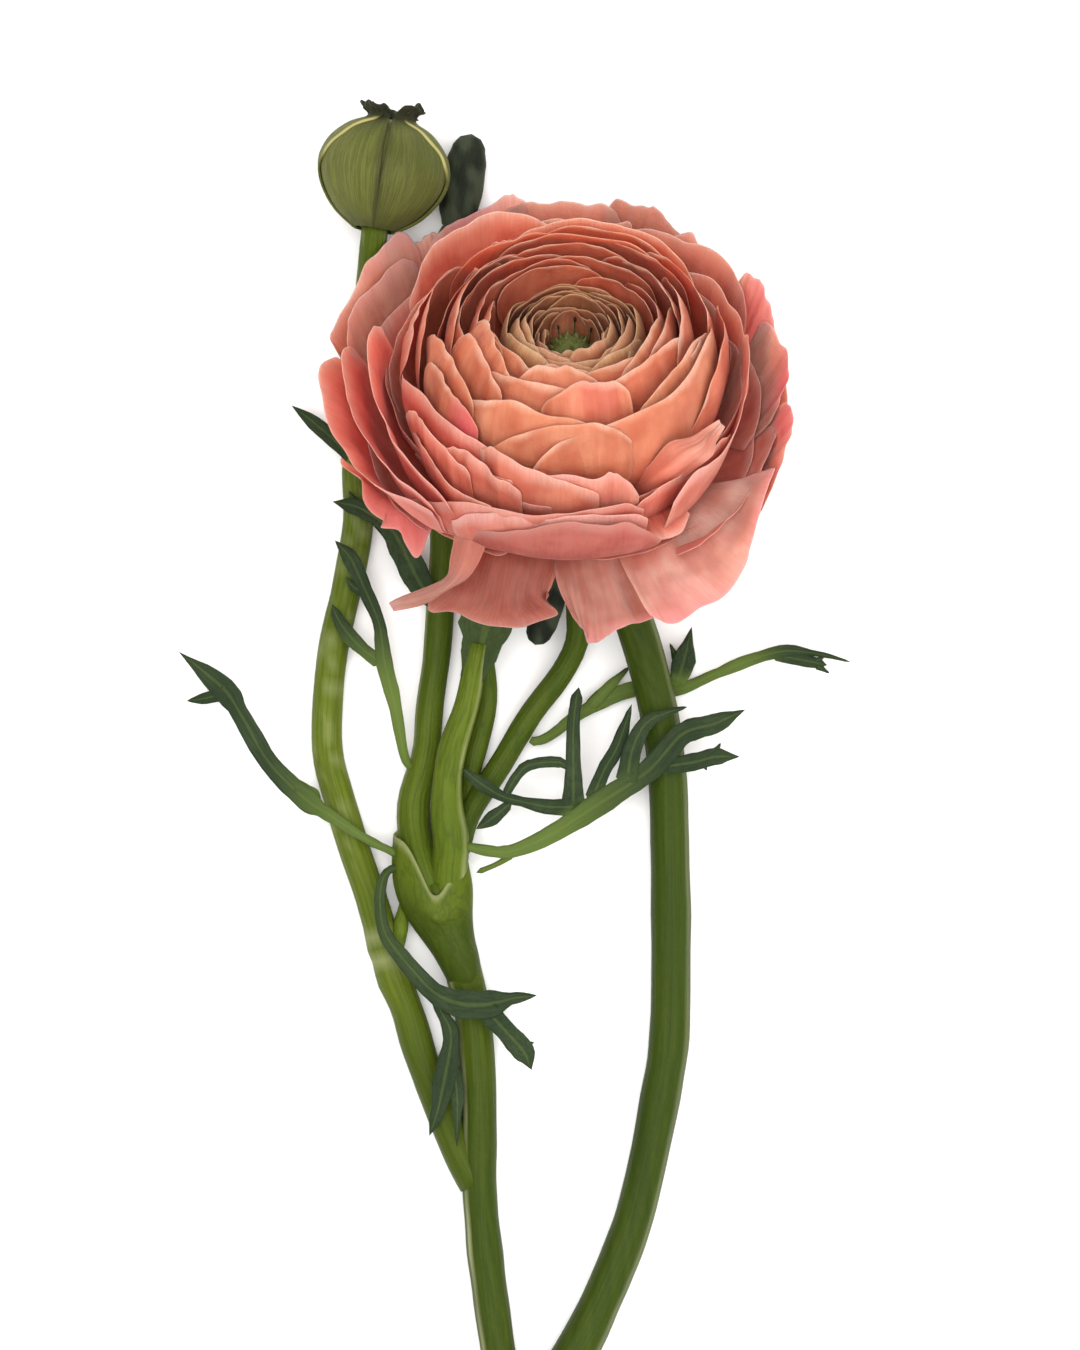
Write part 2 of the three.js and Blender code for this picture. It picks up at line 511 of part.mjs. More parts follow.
const leaves = {
  compound_leaf: [
    [[-14, 137.5, 8.2, 0.8], [-9, 136.5, 8.6, 1], [-5, 136.5, 8.8, 1.3], [2, 139.5, 9.5, 2.3], [10.5, 145, 10, 2.7],
      [19.5, 151, 10.3, 2.3], [25.5, 157.5, 10.8, 2.1], [31.5, 159.5, 10.2, 2], [37, 162, 9.5, 0.25]],
    [[20.5, 151.5, 10.4, 1.3], [27.5, 152.5, 10.6, 1.6], [31.5, 153.5, 10.2, 1.5], [36, 153.5, 9.5, 0.25]],
    [[29, 153, 10.4, 1], [30, 151, 10, 0.2]],
    [[31, 153.5, 10.3, 1], [32.5, 156, 10, 0.2]],
    [[6, 144.5, 9.8, 2.2], [6, 150, 9.8, 1.5], [6, 158.5, 9.8, 1.2], [6.5, 163.5, 9.8, 1.1], [7, 166, 9.5, 0.3]],
    [[9, 145, 10, 1.5], [11.5, 151, 10, 1.3], [14, 155.5, 10.2, 1.3], [16.5, 163, 10.4, 0.4]],
    [[15.5, 148, 10.2, 2], [16.5, 154.5, 10.8, 1.7], [19, 159.5, 11.2, 1.3], [23, 161.5, 11.4, 0.7],
      [26.5, 162.5, 11.2, 0.25]],
    [[7, 144.5, 9.8, 1.8], [1.5, 144.5, 9.8, 1.3], [-3.5, 145.5, 10.2, 0.9], [-7, 146.5, 10.6, 0.9],
      [-11, 149, 11.2, 1.2], [-14, 151.5, 12, 0.35]],
    [[-6.5, 146, 10.5, 0.8], [-4.5, 149.5, 10.4, 0.9], [-2, 152, 10.4, 1], [3.5, 152.5, 10, 1], [5, 151, 9.8, 0.25]],
    [[-5, 145.5, 10.3, 0.8], [-8.5, 142.5, 10, 1.3], [-11.5, 140.5, 10, 0.4]],
    [[-11.5, 132.5, 6.6, 0.5], [-8, 134, 7.8, 0.5], [-4.5, 136, 8.9, 0.6]],
  ],
  thin_leaf: [
    [[-2, 156, 3.2, 0.8], [1.5, 157, 3.2, 0.9], [8.5, 162, 2.6, 1.2], [16.5, 165.5, 1.5, 1.4], [21, 165.5, 1.3, 1.2],
      [25, 165.5, 1.5, 1.1], [31, 168, 2.5, 0.9], [37, 170.5, 3.2, 1.1], [44, 172.5, 3.6, 1.1], [50.5, 172, 3.2, 0.5],
      [56.5, 170.5, 2.8, 0.2]],
    [[41.5, 172, 3.5, 0.9], [47, 171, 3.4, 1.2], [52, 170, 3.2, 0.8]],
    [[49.5, 170.5, 3.3, 0.7], [51.5, 171.5, 3.2, 0.2]],
    [[50, 170, 3.3, 0.7], [52.5, 168.5, 3.1, 0.2]],
    [[8.5, 162, 2.6, 1.1], [12, 165.5, 2.7, 1.1], [16.5, 170, 2.6, 0.3]],
    [[24.5, 165.5, 1.5, 1.2], [26, 170.5, 2.4, 2.1], [27.5, 177, 3.4, 0.3]],
    [[25.5, 169.5, 2.2, 1.2], [23.5, 174, 3, 0.25]],
  ],
  left_leaf: [
    [[-23.5, 134.5, 5.5, 0.6], [-27, 136.5, 7, 0.7], [-31, 138.5, 8, 0.8], [-38, 143, 7.6, 1.2], [-42.5, 146, 7, 1.9],
      [-49, 152.5, 6, 1.6], [-54, 161, 5, 1.7], [-57.5, 166, 4.6, 2.3], [-65.5, 172.5, 4, 0.25]],
    [[-57, 165, 4.8, 1.4], [-60.5, 164, 4.7, 1.1], [-64, 163.5, 4.4, 0.25]],
    [[-57, 165.5, 4.8, 1.1], [-58, 168.5, 4.6, 0.2]],
    [[-45, 148.5, 6.8, 1.3], [-41, 147, 7.2, 0.9], [-39.5, 146, 7.2, 0.25]],
  ],
  forked_leaf: [
    [[-23, 151, 3.4, 0.7], [-24.5, 153.5, 5, 0.8], [-26, 162, 6.5, 1.2], [-28, 170.5, 7.6, 1.5], [-29, 177.5, 8, 1.1],
      [-31.5, 183.5, 8.2, 1.3], [-34, 189, 8, 1.5], [-37, 192.5, 7.4, 0.25]],
    [[-28, 170, 7.6, 1.3], [-31.5, 172.5, 7.8, 1.2], [-34.5, 175.5, 7.9, 1.5], [-36.5, 178.5, 7.6, 1.1],
      [-37.5, 181, 7.2, 0.25]],
    [[-30.5, 182.5, 8.2, 1], [-33.5, 184, 8.2, 0.8], [-35, 186, 7.8, 0.2]],
  ],
  narrow_leaf: [
    [[-33, 205.5, 3.2, 0.9], [-35.5, 209, 5, 1.3], [-40.5, 213.5, 5.6, 1.4], [-45, 217, 5, 0.2]],
  ],
  dark_bract: [
    [[-18, 180.5, 3.6, 1.3], [-21.5, 184.5, 6.2, 2.3], [-24, 189.5, 7.2, 2.7], [-26.5, 194, 7.6, 2],
      [-29.5, 196.5, 7.8, 1.4], [-33, 198.5, 7.8, 1.7], [-37.5, 199.5, 7, 0.25]],
    [[-33, 198.5, 7.8, 1.2], [-34.5, 201.5, 7.4, 0.2]],
  ],
  lower_leaf: [
    [[-24, 133.5, 6, 0.7], [-27.5, 132.8, 8, 1.3], [-28.8, 128.5, 8.8, 1.6], [-28, 122, 9, 1.8], [-24.5, 117, 9.2, 2],
      [-20, 112, 9.8, 1.9], [-17, 110, 10.3, 2.1], [-13.5, 109, 10.4, 2.6], [-9.5, 109, 10.2, 2.6],
      [-5, 110, 9.4, 1.2], [-0.5, 110.5, 8.4, 0.3]],
    [[-10.5, 109, 10.2, 2.1], [-6.5, 104.5, 9.6, 1.8], [-3, 100.5, 8.8, 2.1], [-1.5, 97, 8.2, 0.3]],
    [[-4, 101.5, 9.1, 1], [-1, 102, 8.6, 0.2]],
    [[-18.5, 111, 10, 1.4], [-18, 108, 9, 1], [-16, 103.5, 8, 1.4], [-17, 96.5, 7.7, 2], [-18.5, 89.5, 7.4, 1.4],
      [-20, 85, 7, 0.25]],
    [[-16.5, 100.5, 7.9, 1], [-15, 93.5, 7.7, 1.3], [-15, 83, 7.4, 0.25]],
  ],
  shoot_bract: [
    [[-12.5, 165.5, 8.4, 1.6], [-12, 168.5, 8.8, 2.2], [-10.5, 173.5, 9.6, 3.6], [-9.5, 178, 10.4, 4.8],
      [-8.5, 183.5, 11, 4.4], [-7.5, 188.5, 11, 0.5]],
  ],
};
const carriers = [budStemRoom, branchRoom, leftShootRoom, rightShootRoom, crossShootRoom];
Object.entries(leaves).forEach(([name, fingers]) => {
  addPiece(name, fitted(joined(fingers.map(leafFinger)), carriers), looks.leaf);
});

// The footprint's middle becomes the origin.
const extent = new THREE.Box3().setFromObject(flower, true);
flower.children.forEach((piece) => {
  piece.position.x -= (extent.min.x + extent.max.x) / 2;
  piece.position.y -= (extent.min.y + extent.max.y) / 2;
  piece.position.z -= extent.min.z;
});

export default flower;
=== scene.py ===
import math
import random

import bpy
from mathutils import Matrix, Vector, noise


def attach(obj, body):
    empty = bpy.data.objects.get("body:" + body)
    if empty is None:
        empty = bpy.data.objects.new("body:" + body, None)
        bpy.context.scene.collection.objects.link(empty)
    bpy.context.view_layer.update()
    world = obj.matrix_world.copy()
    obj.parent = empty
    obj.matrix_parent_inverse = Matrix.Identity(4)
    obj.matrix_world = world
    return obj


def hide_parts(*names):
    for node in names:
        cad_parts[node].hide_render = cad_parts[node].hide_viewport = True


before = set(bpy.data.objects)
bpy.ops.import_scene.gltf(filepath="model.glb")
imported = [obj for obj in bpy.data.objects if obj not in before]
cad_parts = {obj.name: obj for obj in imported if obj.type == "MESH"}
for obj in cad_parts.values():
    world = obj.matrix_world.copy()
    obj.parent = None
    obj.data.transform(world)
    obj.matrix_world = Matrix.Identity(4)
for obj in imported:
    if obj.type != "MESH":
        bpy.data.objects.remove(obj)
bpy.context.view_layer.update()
print("stage: frame loaded,", len(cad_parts), "nodes")

# Shapes are drawn in millimetres from the cut end of the stem; drawingShift takes them to the frame.
millimetre = 0.001
drawingShift = Vector((4.5546, -136.4689, -0.1447))


def inFrame(point):
    return (point + drawingShift) * millimetre


def inDrawing(point):
    return point / millimetre - drawingShift


# Small helpers.

def mix(a, b, share):
    return a + (b - a) * share


def clamp(value, low=0.0, high=1.0):
    return max(low, min(high, value))


def smooth(low, high, value):
    share = clamp((value - low) / (high - low))
    return share * share * (3 - 2 * share)


def along(points, x):  # value at x of a smooth line through [x, value] pairs
    for (x0, a), (x1, b) in zip(points, points[1:]):
        if x <= x1:
            return mix(a, b, smooth(x0, x1, x))
    return points[-1][1]


waveLook = {"gain": 1.6, "seedStep": 7.31, "seedStart": 0.5}


def wave(a, b, seed):  # soft seeded noise, about -1 to 1
    return noise.noise(Vector((a, b, seed * waveLook["seedStep"] + waveLook["seedStart"]))) * waveLook["gain"]


def throughPoints(points, share):  # a smooth line through points of any size
    spans = len(points) - 1
    x = clamp(share) * spans
    i = min(int(x), spans - 1)
    f = x - i
    p1, p2 = Vector(points[i]), Vector(points[i + 1])
    p0 = Vector(points[i - 1]) if i > 0 else p1 * 2 - p2
    p3 = Vector(points[i + 2]) if i < spans - 1 else p2 * 2 - p1
    return 0.5 * (2 * p1 + (p2 - p0) * f + (2 * p0 - 5 * p1 + 4 * p2 - p3) * f * f
                  + (3 * p1 - p0 - 3 * p2 + p3) * f * f * f)


def bezier(points, share):
    u = 1 - share
    weights = (u * u * u, 3 * u * u * share, 3 * u * share * share, share * share * share)
    return [sum(k * p[i] for k, p in zip(weights, points)) for i in range(len(points[0]))]


def tint(code):  # a colour written as a web colour, as linear numbers
    parts = [int(code[i:i + 2], 16) / 255 for i in (0, 2, 4)]
    return tuple(c / 12.92 if c <= 0.04045 else ((c + 0.055) / 1.055) ** 2.4 for c in parts) + (1.0,)


def nodeName(name):  # "bloomStem" is the part's node "bloom_stem"
    return "".join("_" + letter.lower() if letter.isupper() else letter for letter in name)


def selectOnly(piece):
    bpy.ops.object.select_all(action="DESELECT")
    piece.select_set(True)
    bpy.context.view_layer.objects.active = piece


def applyModifier(piece, kind, **settings):
    selectOnly(piece)
    modifier = piece.modifiers.new(kind, kind)
    for key, value in settings.items():
        setattr(modifier, key, value)
    bpy.ops.object.modifier_apply(modifier=modifier.name)


def thicken(piece, thickness, offset=0.0, **settings):  # a wall out of a sheet, then rounder
    applyModifier(piece, "SOLIDIFY", thickness=thickness, offset=offset, **settings)
    applyModifier(piece, "SUBSURF", levels=1, render_levels=1)


def editAll(piece, *steps):  # runs edit-mode steps on the whole mesh
    selectOnly(piece)
    bpy.ops.object.mode_set(mode="EDIT")
    bpy.ops.mesh.select_all(action="SELECT")
    for step, settings in steps:
        step(**settings)
    bpy.ops.object.mode_set(mode="OBJECT")


blanks = {}


def copyBlank(name, across, rows):  # a flat sheet, modelled once for each size and copied
    if (across, rows) not in blanks:
        bpy.ops.object.select_all(action="DESELECT")
        bpy.ops.mesh.primitive_grid_add(x_subdivisions=across, y_subdivisions=rows, size=2)
        blanks[across, rows] = bpy.context.object
        bpy.context.object.name = f"blank{across}x{rows}"
    selectOnly(blanks[across, rows])
    bpy.ops.object.duplicate(linked=False)
    piece = bpy.context.object
    piece.name = name
    piece.data.name = name
    return piece


def layOut(piece, place):  # moves the sheet's points to place(s, t), s -1 to 1 across and t 0 to 1 along
    for vertex in piece.data.vertices:
        vertex.co = inFrame(place(vertex.co.x, (vertex.co.y + 1) / 2))


def aboveFloor(point, gap):  # what would sink into the floor lies on it instead
    if point.z < 3 * gap:
        point.z = gap + 2 * gap * math.exp((point.z - 3 * gap) / (2 * gap))
    return point


def faceOut(piece):  # closes seams and turns the faces outwards
    editAll(piece,
            (bpy.ops.mesh.remove_doubles, {"threshold": 0.00001}),
            (bpy.ops.mesh.normals_make_consistent, {"inside": False}))


def addMask(piece, name, value):  # a number for each point, read by the materials
    layer = piece.data.attributes.new(name, "FLOAT", "POINT")
    for i, vertex in enumerate(piece.data.vertices):
        layer.data[i].value = value(inDrawing(vertex.co)) if callable(value) else value


def addCornerMask(piece, name, value):  # a number for each face corner, from its place u, v on the sheet
    layer = piece.data.attributes.new(name, "FLOAT", "CORNER")
    for i, corner in enumerate(piece.data.uv_layers[0].data):
        layer.data[i].value = value(corner.uv.x, corner.uv.y, piece.data.loops[i].vertex_index)


def finishPiece(piece, material, node):
    piece.data.materials.clear()
    piece.data.materials.append(material)
    selectOnly(piece)
    bpy.ops.object.shade_smooth()
    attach(piece, "root")
    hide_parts(node)
    return piece


# Camera, floor and light.

view = {"middle": (0.0045546, 0.0317311), "height": 0.9, "framed": 0.2454545, "sensor": 36}
bpy.ops.object.camera_add(location=(*view["middle"], view["height"]), rotation=(0, 0, 0))
camera = bpy.context.object
camera.name = "viewCamera"
camera.data.sensor_width = view["sensor"]
camera.data.lens = view["sensor"] * view["height"] / view["framed"]
bpy.context.scene.camera = camera

lamps = {
    "keyLight": {"place": (-0.14, 0.08, 1.05), "size": 0.6, "power": 7.0},
    "fillLight": {"place": (0.5, -0.15, 0.75), "size": 0.8, "power": 4.5},
    "topLight": {"place": (0.1, 0.1, 1.3), "size": 1.2, "power": 4.0},
}
lampTarget = Vector((0, 0.03, 0))
for name, lamp in lamps.items():
    bpy.ops.object.light_add(type="AREA", location=lamp["place"])
    light = bpy.context.object
    light.name = name
    light.data.size = lamp["size"]
    light.data.energy = lamp["power"]
    light.rotation_euler = (lampTarget - light.location).to_track_quat("-Z", "Y").to_euler()

studio = {"colour": (1.0, 0.99, 0.98, 1), "strength": 0.95, "floorSize": 6, "floorDrop": 0.0002}
world = bpy.data.worlds.new("studio")
bpy.context.scene.world = world
world.use_nodes = True
background = world.node_tree.nodes["Background"]
background.inputs["Color"].default_value = studio["colour"]
background.inputs["Strength"].default_value = studio["strength"]
bpy.context.scene.view_settings.view_transform = "Standard"

bpy.ops.object.select_all(action="DESELECT")
bpy.ops.mesh.primitive_plane_add(size=studio["floorSize"], location=(0, 0, -studio["floorDrop"]))
floor = bpy.context.object
floor.name = "floor"
bpy.ops.object.transform_apply(location=True, rotation=False, scale=False)
print("stage: camera, lights and floor")


# Materials.

def addNode(tree, kind, **settings):  # settings name a socket or else a property of the node
    node = tree.nodes.new(kind)
    for key, value in settings.items():
        if key in node.inputs:
            node.inputs[key].default_value = value
        else:
            setattr(node, key, value)
    return node


def feed(tree, socket, value):  # a number or colour is set, and an output is linked
    if isinstance(value, (int, float, tuple)):
        socket.default_value = value
    else:
        tree.links.new(value, socket)


def mathNode(tree, operation, first, second):
    node = addNode(tree, "ShaderNodeMath", operation=operation)
    for socket, value in zip(node.inputs, (first, second)):
        feed(tree, socket, value)
    return node.outputs[0]


def times(tree, first, second):
    return mathNode(tree, "MULTIPLY", first, second)


def plus(tree, first, second):
    return mathNode(tree, "ADD", first, second)


def larger(tree, first, second):
    return mathNode(tree, "MAXIMUM", first, second)


def farFrom(tree, value, middle):
    return mathNode(tree, "ABSOLUTE", mathNode(tree, "SUBTRACT", value, middle), 0.0)


def rangeNode(tree, value, low, high, lowOut=0.0, highOut=1.0):  # a smooth step from low to high
    node = addNode(tree, "ShaderNodeMapRange", interpolation_type="SMOOTHSTEP")
    tree.links.new(value, node.inputs["Value"])
    for key, number in (("From Min", low), ("From Max", high), ("To Min", lowOut), ("To Max", highOut)):
        node.inputs[key].default_value = number
    return node.outputs["Result"]


def blendNode(tree, share, first, second, way="MIX"):  # mixes two colours
    node = addNode(tree, "ShaderNodeMix", data_type="RGBA", blend_type=way)
    for number, value in ((0, share), (6, first), (7, second)):
        feed(tree, node.inputs[number], value)
    return node.outputs[2]


def newGroup(name, inputs, outputs):
    tree = bpy.data.node_groups.new(name, "ShaderNodeTree")
    for label, kind, value in inputs:
        socket = tree.interface.new_socket(label, in_out="INPUT", socket_type=kind)
        if value is not None:
            socket.default_value = value
    for label in outputs:
        tree.interface.new_socket(label, in_out="OUTPUT", socket_type="NodeSocketFloat")
    return tree, tree.nodes.new("NodeGroupInput"), tree.nodes.new("NodeGroupOutput")


veinLook = {"detail": 3.0, "roughness": 0.55, "distortion": 0.25, "lineWidth": 0.09}
mottleLook = {"slowDetail": 2.0, "slowRoughness": 0.5, "quickDetail": 4.0, "quickRoughness": 0.65, "quickSize": 14.0,
              "blotch": (0.34, 0.66), "speck": (0.3, 0.7)}


def makeVeins():  # fine branching lines that run along a petal, leaf or stem
    tree, given, made = newGroup(
        "lengthVeins",
        [("Map", "NodeSocketVector", None), ("Across", "NodeSocketFloat", 60.0),
         ("Along", "NodeSocketFloat", 2.0), ("Shift", "NodeSocketFloat", 0.0)],
        ["Lines", "Height"])
    parts = addNode(tree, "ShaderNodeSeparateXYZ")
    tree.links.new(given.outputs["Map"], parts.inputs[0])
    fine = addNode(tree, "ShaderNodeCombineXYZ")
    tree.links.new(times(tree, parts.outputs[0], given.outputs["Across"]), fine.inputs[0])
    tree.links.new(times(tree, parts.outputs[1], given.outputs["Along"]), fine.inputs[1])
    tree.links.new(given.outputs["Shift"], fine.inputs[2])
    grain = addNode(tree, "ShaderNodeTexNoise", Scale=1.0, Detail=veinLook["detail"],
                    Roughness=veinLook["roughness"], Distortion=veinLook["distortion"])
    tree.links.new(fine.outputs[0], grain.inputs["Vector"])
    ridge = farFrom(tree, grain.outputs["Fac"], 0.5)
    tree.links.new(rangeNode(tree, ridge, 0.0, veinLook["lineWidth"], 1.0, 0.0), made.inputs["Lines"])
    tree.links.new(grain.outputs["Fac"], made.inputs["Height"])
    return tree


def makeMottle():  # slow and quick blotches
    tree, given, made = newGroup(
        "softMottle", [("Map", "NodeSocketVector", None), ("Size", "NodeSocketFloat", 90.0)], ["Blotch", "Speck"])
    slow = addNode(tree, "ShaderNodeTexNoise", Detail=mottleLook["slowDetail"],
                   Roughness=mottleLook["slowRoughness"])
    tree.links.new(given.outputs["Map"], slow.inputs["Vector"])
    tree.links.new(given.outputs["Size"], slow.inputs["Scale"])
    quick = addNode(tree, "ShaderNodeTexNoise", Detail=mottleLook["quickDetail"],
                    Roughness=mottleLook["quickRoughness"])
    tree.links.new(given.outputs["Map"], quick.inputs["Vector"])
    tree.links.new(times(tree, given.outputs["Size"], mottleLook["quickSize"]), quick.inputs["Scale"])
    tree.links.new(rangeNode(tree, slow.outputs["Fac"], *mottleLook["blotch"]), made.inputs["Blotch"])
    tree.links.new(rangeNode(tree, quick.outputs["Fac"], *mottleLook["speck"]), made.inputs["Speck"])
    return tree


veinGroup = makeVeins()
mottleGroup = makeMottle()


def placeGroup(tree, group, **values):
    node = tree.nodes.new("ShaderNodeGroup")
    node.node_tree = group
    for key, value in values.items():
        feed(tree, node.inputs[key], value)
    return node


def startMaterial(name, roughness, **constants):  # constants go on the shader's own sockets
    material = bpy.data.materials.new(name)
    material.use_nodes = True
    tree = material.node_tree
    shader = tree.nodes["Principled BSDF"]
    shader.inputs["Roughness"].default_value = roughness
    for key, value in constants.items():
        shader.inputs[key.replace("_", " ")].default_value = value
    coordinates = addNode(tree, "ShaderNodeTexCoord")
    return material, tree, shader, coordinates


def splitMap(tree, coordinates):
    parts = addNode(tree, "ShaderNodeSeparateXYZ")
    tree.links.new(coordinates.outputs["UV"], parts.inputs[0])
    return parts.outputs[0], parts.outputs[1]


def readMasks(tree, *names):
    return [addNode(tree, "ShaderNodeAttribute", attribute_name=name).outputs["Fac"] for name in names]


def bumpInto(tree, shader, height, strength, distance):
    bump = addNode(tree, "ShaderNodeBump", Strength=strength, Distance=distance)
    tree.links.new(height, bump.inputs["Height"])
    tree.links.new(bump.outputs["Normal"], shader.inputs["Normal"])


def readLook(shared, look):  # one look out of the shared values and its own, with its colours as numbers
    return {key: tint(value) if isinstance(value, str) else value for key, value in {**shared, **look}.items()}


petalFinish = {
    "glowDepth": 0.002, "glowColour": (1.0, 0.4, 0.3), "sheen": 0.04, "sheenRoughness": 0.4, "specular": 0.22,
    "mottleSize": 150.0, "toneShift": 20.0, "veinAlong": 2.2, "streaks": 7.0, "streakAlong": 1.4,
    "streakRange": (0.35, 0.68), "wobble": 0.05, "sideWobble": 0.6, "rimTo": 1.02, "sideRange": (0.45, 0.52),
    # the grey multiplied over petals that lie in shade is painted shade
    "dustyLight": 0.85, "pinkShare": 0.6, "paintedShadeColour": "86807c", "veinHeight": 0.5, "speckHeight": 0.25,
    "bump": 0.3, "bumpDepth": 0.0005, "patchy": 0.6, "streaky": 0.5,
}


def petalMaterial(name, look):
    look = readLook(petalFinish, look)
    material, tree, shader, coordinates = startMaterial(
        name, look["roughness"], Subsurface_Weight=look["glow"], Subsurface_Scale=look["glowDepth"],
        Subsurface_Radius=look["glowColour"], Sheen_Weight=look["sheen"], Sheen_Roughness=look["sheenRoughness"],
        Specular_IOR_Level=look["specular"])
    place = coordinates.outputs["UV"]
    over, up = splitMap(tree, coordinates)
    tone, dusty, blush, inner, dim = readMasks(tree, "tone", "dusty", "blush", "inner", "dim")
    across = farFrom(tree, over, 0.5)
    mottle = placeGroup(tree, mottleGroup, Map=coordinates.outputs["Object"], Size=look["mottleSize"])
    blotch, speck = mottle.outputs["Blotch"], mottle.outputs["Speck"]
    shift = times(tree, tone, look["toneShift"])
    veins = placeGroup(tree, veinGroup, Map=place, Across=look["veins"], Along=look["veinAlong"], Shift=shift)
    streaks = placeGroup(tree, veinGroup, Map=place, Across=look["streaks"], Along=look["streakAlong"], Shift=shift)
    wobble = times(tree, mathNode(tree, "SUBTRACT", blotch, 0.5), look["wobble"])
    rim = plus(tree, up, wobble)
    sides = plus(tree, across, times(tree, wobble, look["sideWobble"]))
    margin = larger(tree, rangeNode(tree, rim, look["rimFrom"], look["rimTo"]),
                    rangeNode(tree, sides, *look["sideRange"], 0.0, look["sideRim"]))
    colour = blendNode(tree, tone, look["warm"], look["peach"])
    colour = blendNode(tree, dusty, colour, look["dusty"])
    colour = blendNode(tree, times(tree, blotch, look["patchy"]), colour, look["patch"], "OVERLAY")
    colour = blendNode(tree, rangeNode(tree, streaks.outputs["Height"], *look["streakRange"], 0.0, look["streaky"]),
                       colour, look["streak"], "MULTIPLY")
    colour = blendNode(tree, times(tree, inner, look["innerShare"]), colour, look["inner"], "MULTIPLY")
    # painted shade: the lower part of each petal, down in the crevices between petals, is blended towards the darker
    # foot colour; dusty petals are spared in proportion to dustyLight
    lit = larger(tree, rangeNode(tree, up, look["footShadeFrom"], look["footShadeTo"]), times(tree, dusty, look["dustyLight"]))
    colour = blendNode(tree, lit, look["deep"], colour)
    colour = blendNode(tree, times(tree, margin, look["marginShare"]), colour, look["margin"])
    colour = blendNode(tree, times(tree, margin, times(tree, dusty, look["pinkShare"])), colour, look["pink"])
    colour = blendNode(tree, blush, colour, look["blush"])
    # painted shade: petals that lie in shade are darkened as a whole by their own share of the grey
    colour = blendNode(tree, dim, colour, look["paintedShadeColour"], "MULTIPLY")
    colour = blendNode(tree, times(tree, veins.outputs["Lines"], look["veinShare"]), colour, look["vein"])
    tree.links.new(colour, shader.inputs["Base Color"])
    height = plus(tree, times(tree, veins.outputs["Height"], look["veinHeight"]),
                  times(tree, speck, look["speckHeight"]))
    height = plus(tree, height, streaks.outputs["Height"])
    bumpInto(tree, shader, height, look["bump"], look["bumpDepth"])
    return material


# each look's deep colour is painted shade at the petals' feet, down between the petals
petalLooks = {
    "heartSkin": {
        "roughness": 0.62, "glow": 0.25, "veins": 26.0, "veinShare": 0.25, "vein": "7d4b34", "warm": "9e6846",
        "peach": "aa7e58", "dusty": "b06e5c", "patch": "8f7a66", "streak": "c9a98c", "inner": "ecd4bc",
        "innerShare": 0.4, "footShadeFrom": 0.3, "footShadeTo": 0.8, "deep": "8c6446", "rimFrom": 0.9, "margin": "cfa880",
        "marginShare": 0.6, "sideRim": 0.6, "pink": "b06058", "blush": "b9566a"},
    "ballSkin": {
        "roughness": 0.6, "glow": 0.38, "veins": 30.0, "veinShare": 0.22, "vein": "b8604a", "warm": "c4644e",
        "peach": "c88363", "dusty": "c27e70", "patch": "8a7d75", "streak": "dcb09c", "inner": "f0ccae",
        "innerShare": 0.4, "footShadeFrom": 0.3, "footShadeTo": 0.8, "deep": "c05a40", "rimFrom": 0.95, "margin": "e6b49c",
        "marginShare": 0.55, "sideRim": 0.3, "pink": "cc6a6c", "blush": "cc4c5c"},
    "outerSkin": {
        "roughness": 0.6, "glow": 0.42, "veins": 38.0, "veinShare": 0.2, "vein": "b0604e", "warm": "de665c",
        "peach": "c88064", "dusty": "c49a8c", "patch": "857874", "streak": "dcbab0", "inner": "fff4ee",
        "innerShare": 0.0, "footShadeFrom": 0.15, "footShadeTo": 0.65, "deep": "d0664e", "rimFrom": 0.88, "margin": "e6b0a0",
        "marginShare": 0.55, "sideRim": 0.5, "pink": "c06878", "blush": "c04e64"},
}
petalSkins = {name: petalMaterial(name, look) for name, look in petalLooks.items()}

greenFinish = {
    "glow": 0.08, "glowDepth": 0.0015, "glowColour": (0.5, 1.0, 0.2), "down": 0.015, "downRoughness": 0.35,
    "downColour": (0.8, 0.9, 0.5, 1), "specular": 0.08, "patchy": 0.7, "veinShare": 0.6, "speckShare": 0.25,
    "midrib": 0.0, "midribRange": (0.012, 0.03), "ribs": 1.6, "speckHeight": 0.3, "bump": 0.4, "bumpDepth": 0.0005,
}


def greenMaterial(name, look):  # stems, buds, sepals and leaves
    look = readLook(greenFinish, look)
    material, tree, shader, coordinates = startMaterial(
        name, look["roughness"], Subsurface_Weight=look["glow"], Subsurface_Scale=look["glowDepth"],
        Subsurface_Radius=look["glowColour"], Sheen_Weight=look["down"], Sheen_Roughness=look["downRoughness"],
        Sheen_Tint=look["downColour"], Specular_IOR_Level=look["specular"])
    pale, dark = readMasks(tree, "pale", "dark")
    mottle = placeGroup(tree, mottleGroup, Map=coordinates.outputs["Object"], Size=look["blotch"])
    speck = mottle.outputs["Speck"]
    veins = placeGroup(tree, veinGroup, Map=coordinates.outputs["UV"], Across=look["veins"], Along=look["veinAlong"])
    colour = blendNode(tree, times(tree, mottle.outputs["Blotch"], look["patchy"]), look["face"], look["patch"])
    colour = blendNode(tree, times(tree, veins.outputs["Lines"], look["veinShare"]), colour, look["vein"])
    colour = blendNode(tree, times(tree, speck, look["speckShare"]), colour, look["speck"])
    if look["midrib"] > 0:  # a pale line down the middle of both faces
        across = farFrom(tree, farFrom(tree, splitMap(tree, coordinates)[0], 0.5), 0.25)
        colour = blendNode(tree, rangeNode(tree, across, *look["midribRange"], look["midrib"], 0.0), colour,
                           look["paleEdge"])
    colour = blendNode(tree, dark, colour, look["shade"])
    colour = blendNode(tree, pale, colour, look["paleEdge"])
    tree.links.new(colour, shader.inputs["Base Color"])
    height = plus(tree, times(tree, veins.outputs["Height"], look["ribs"]), times(tree, speck, look["speckHeight"]))
    bumpInto(tree, shader, height, look["bump"], look["bumpDepth"])
    return material


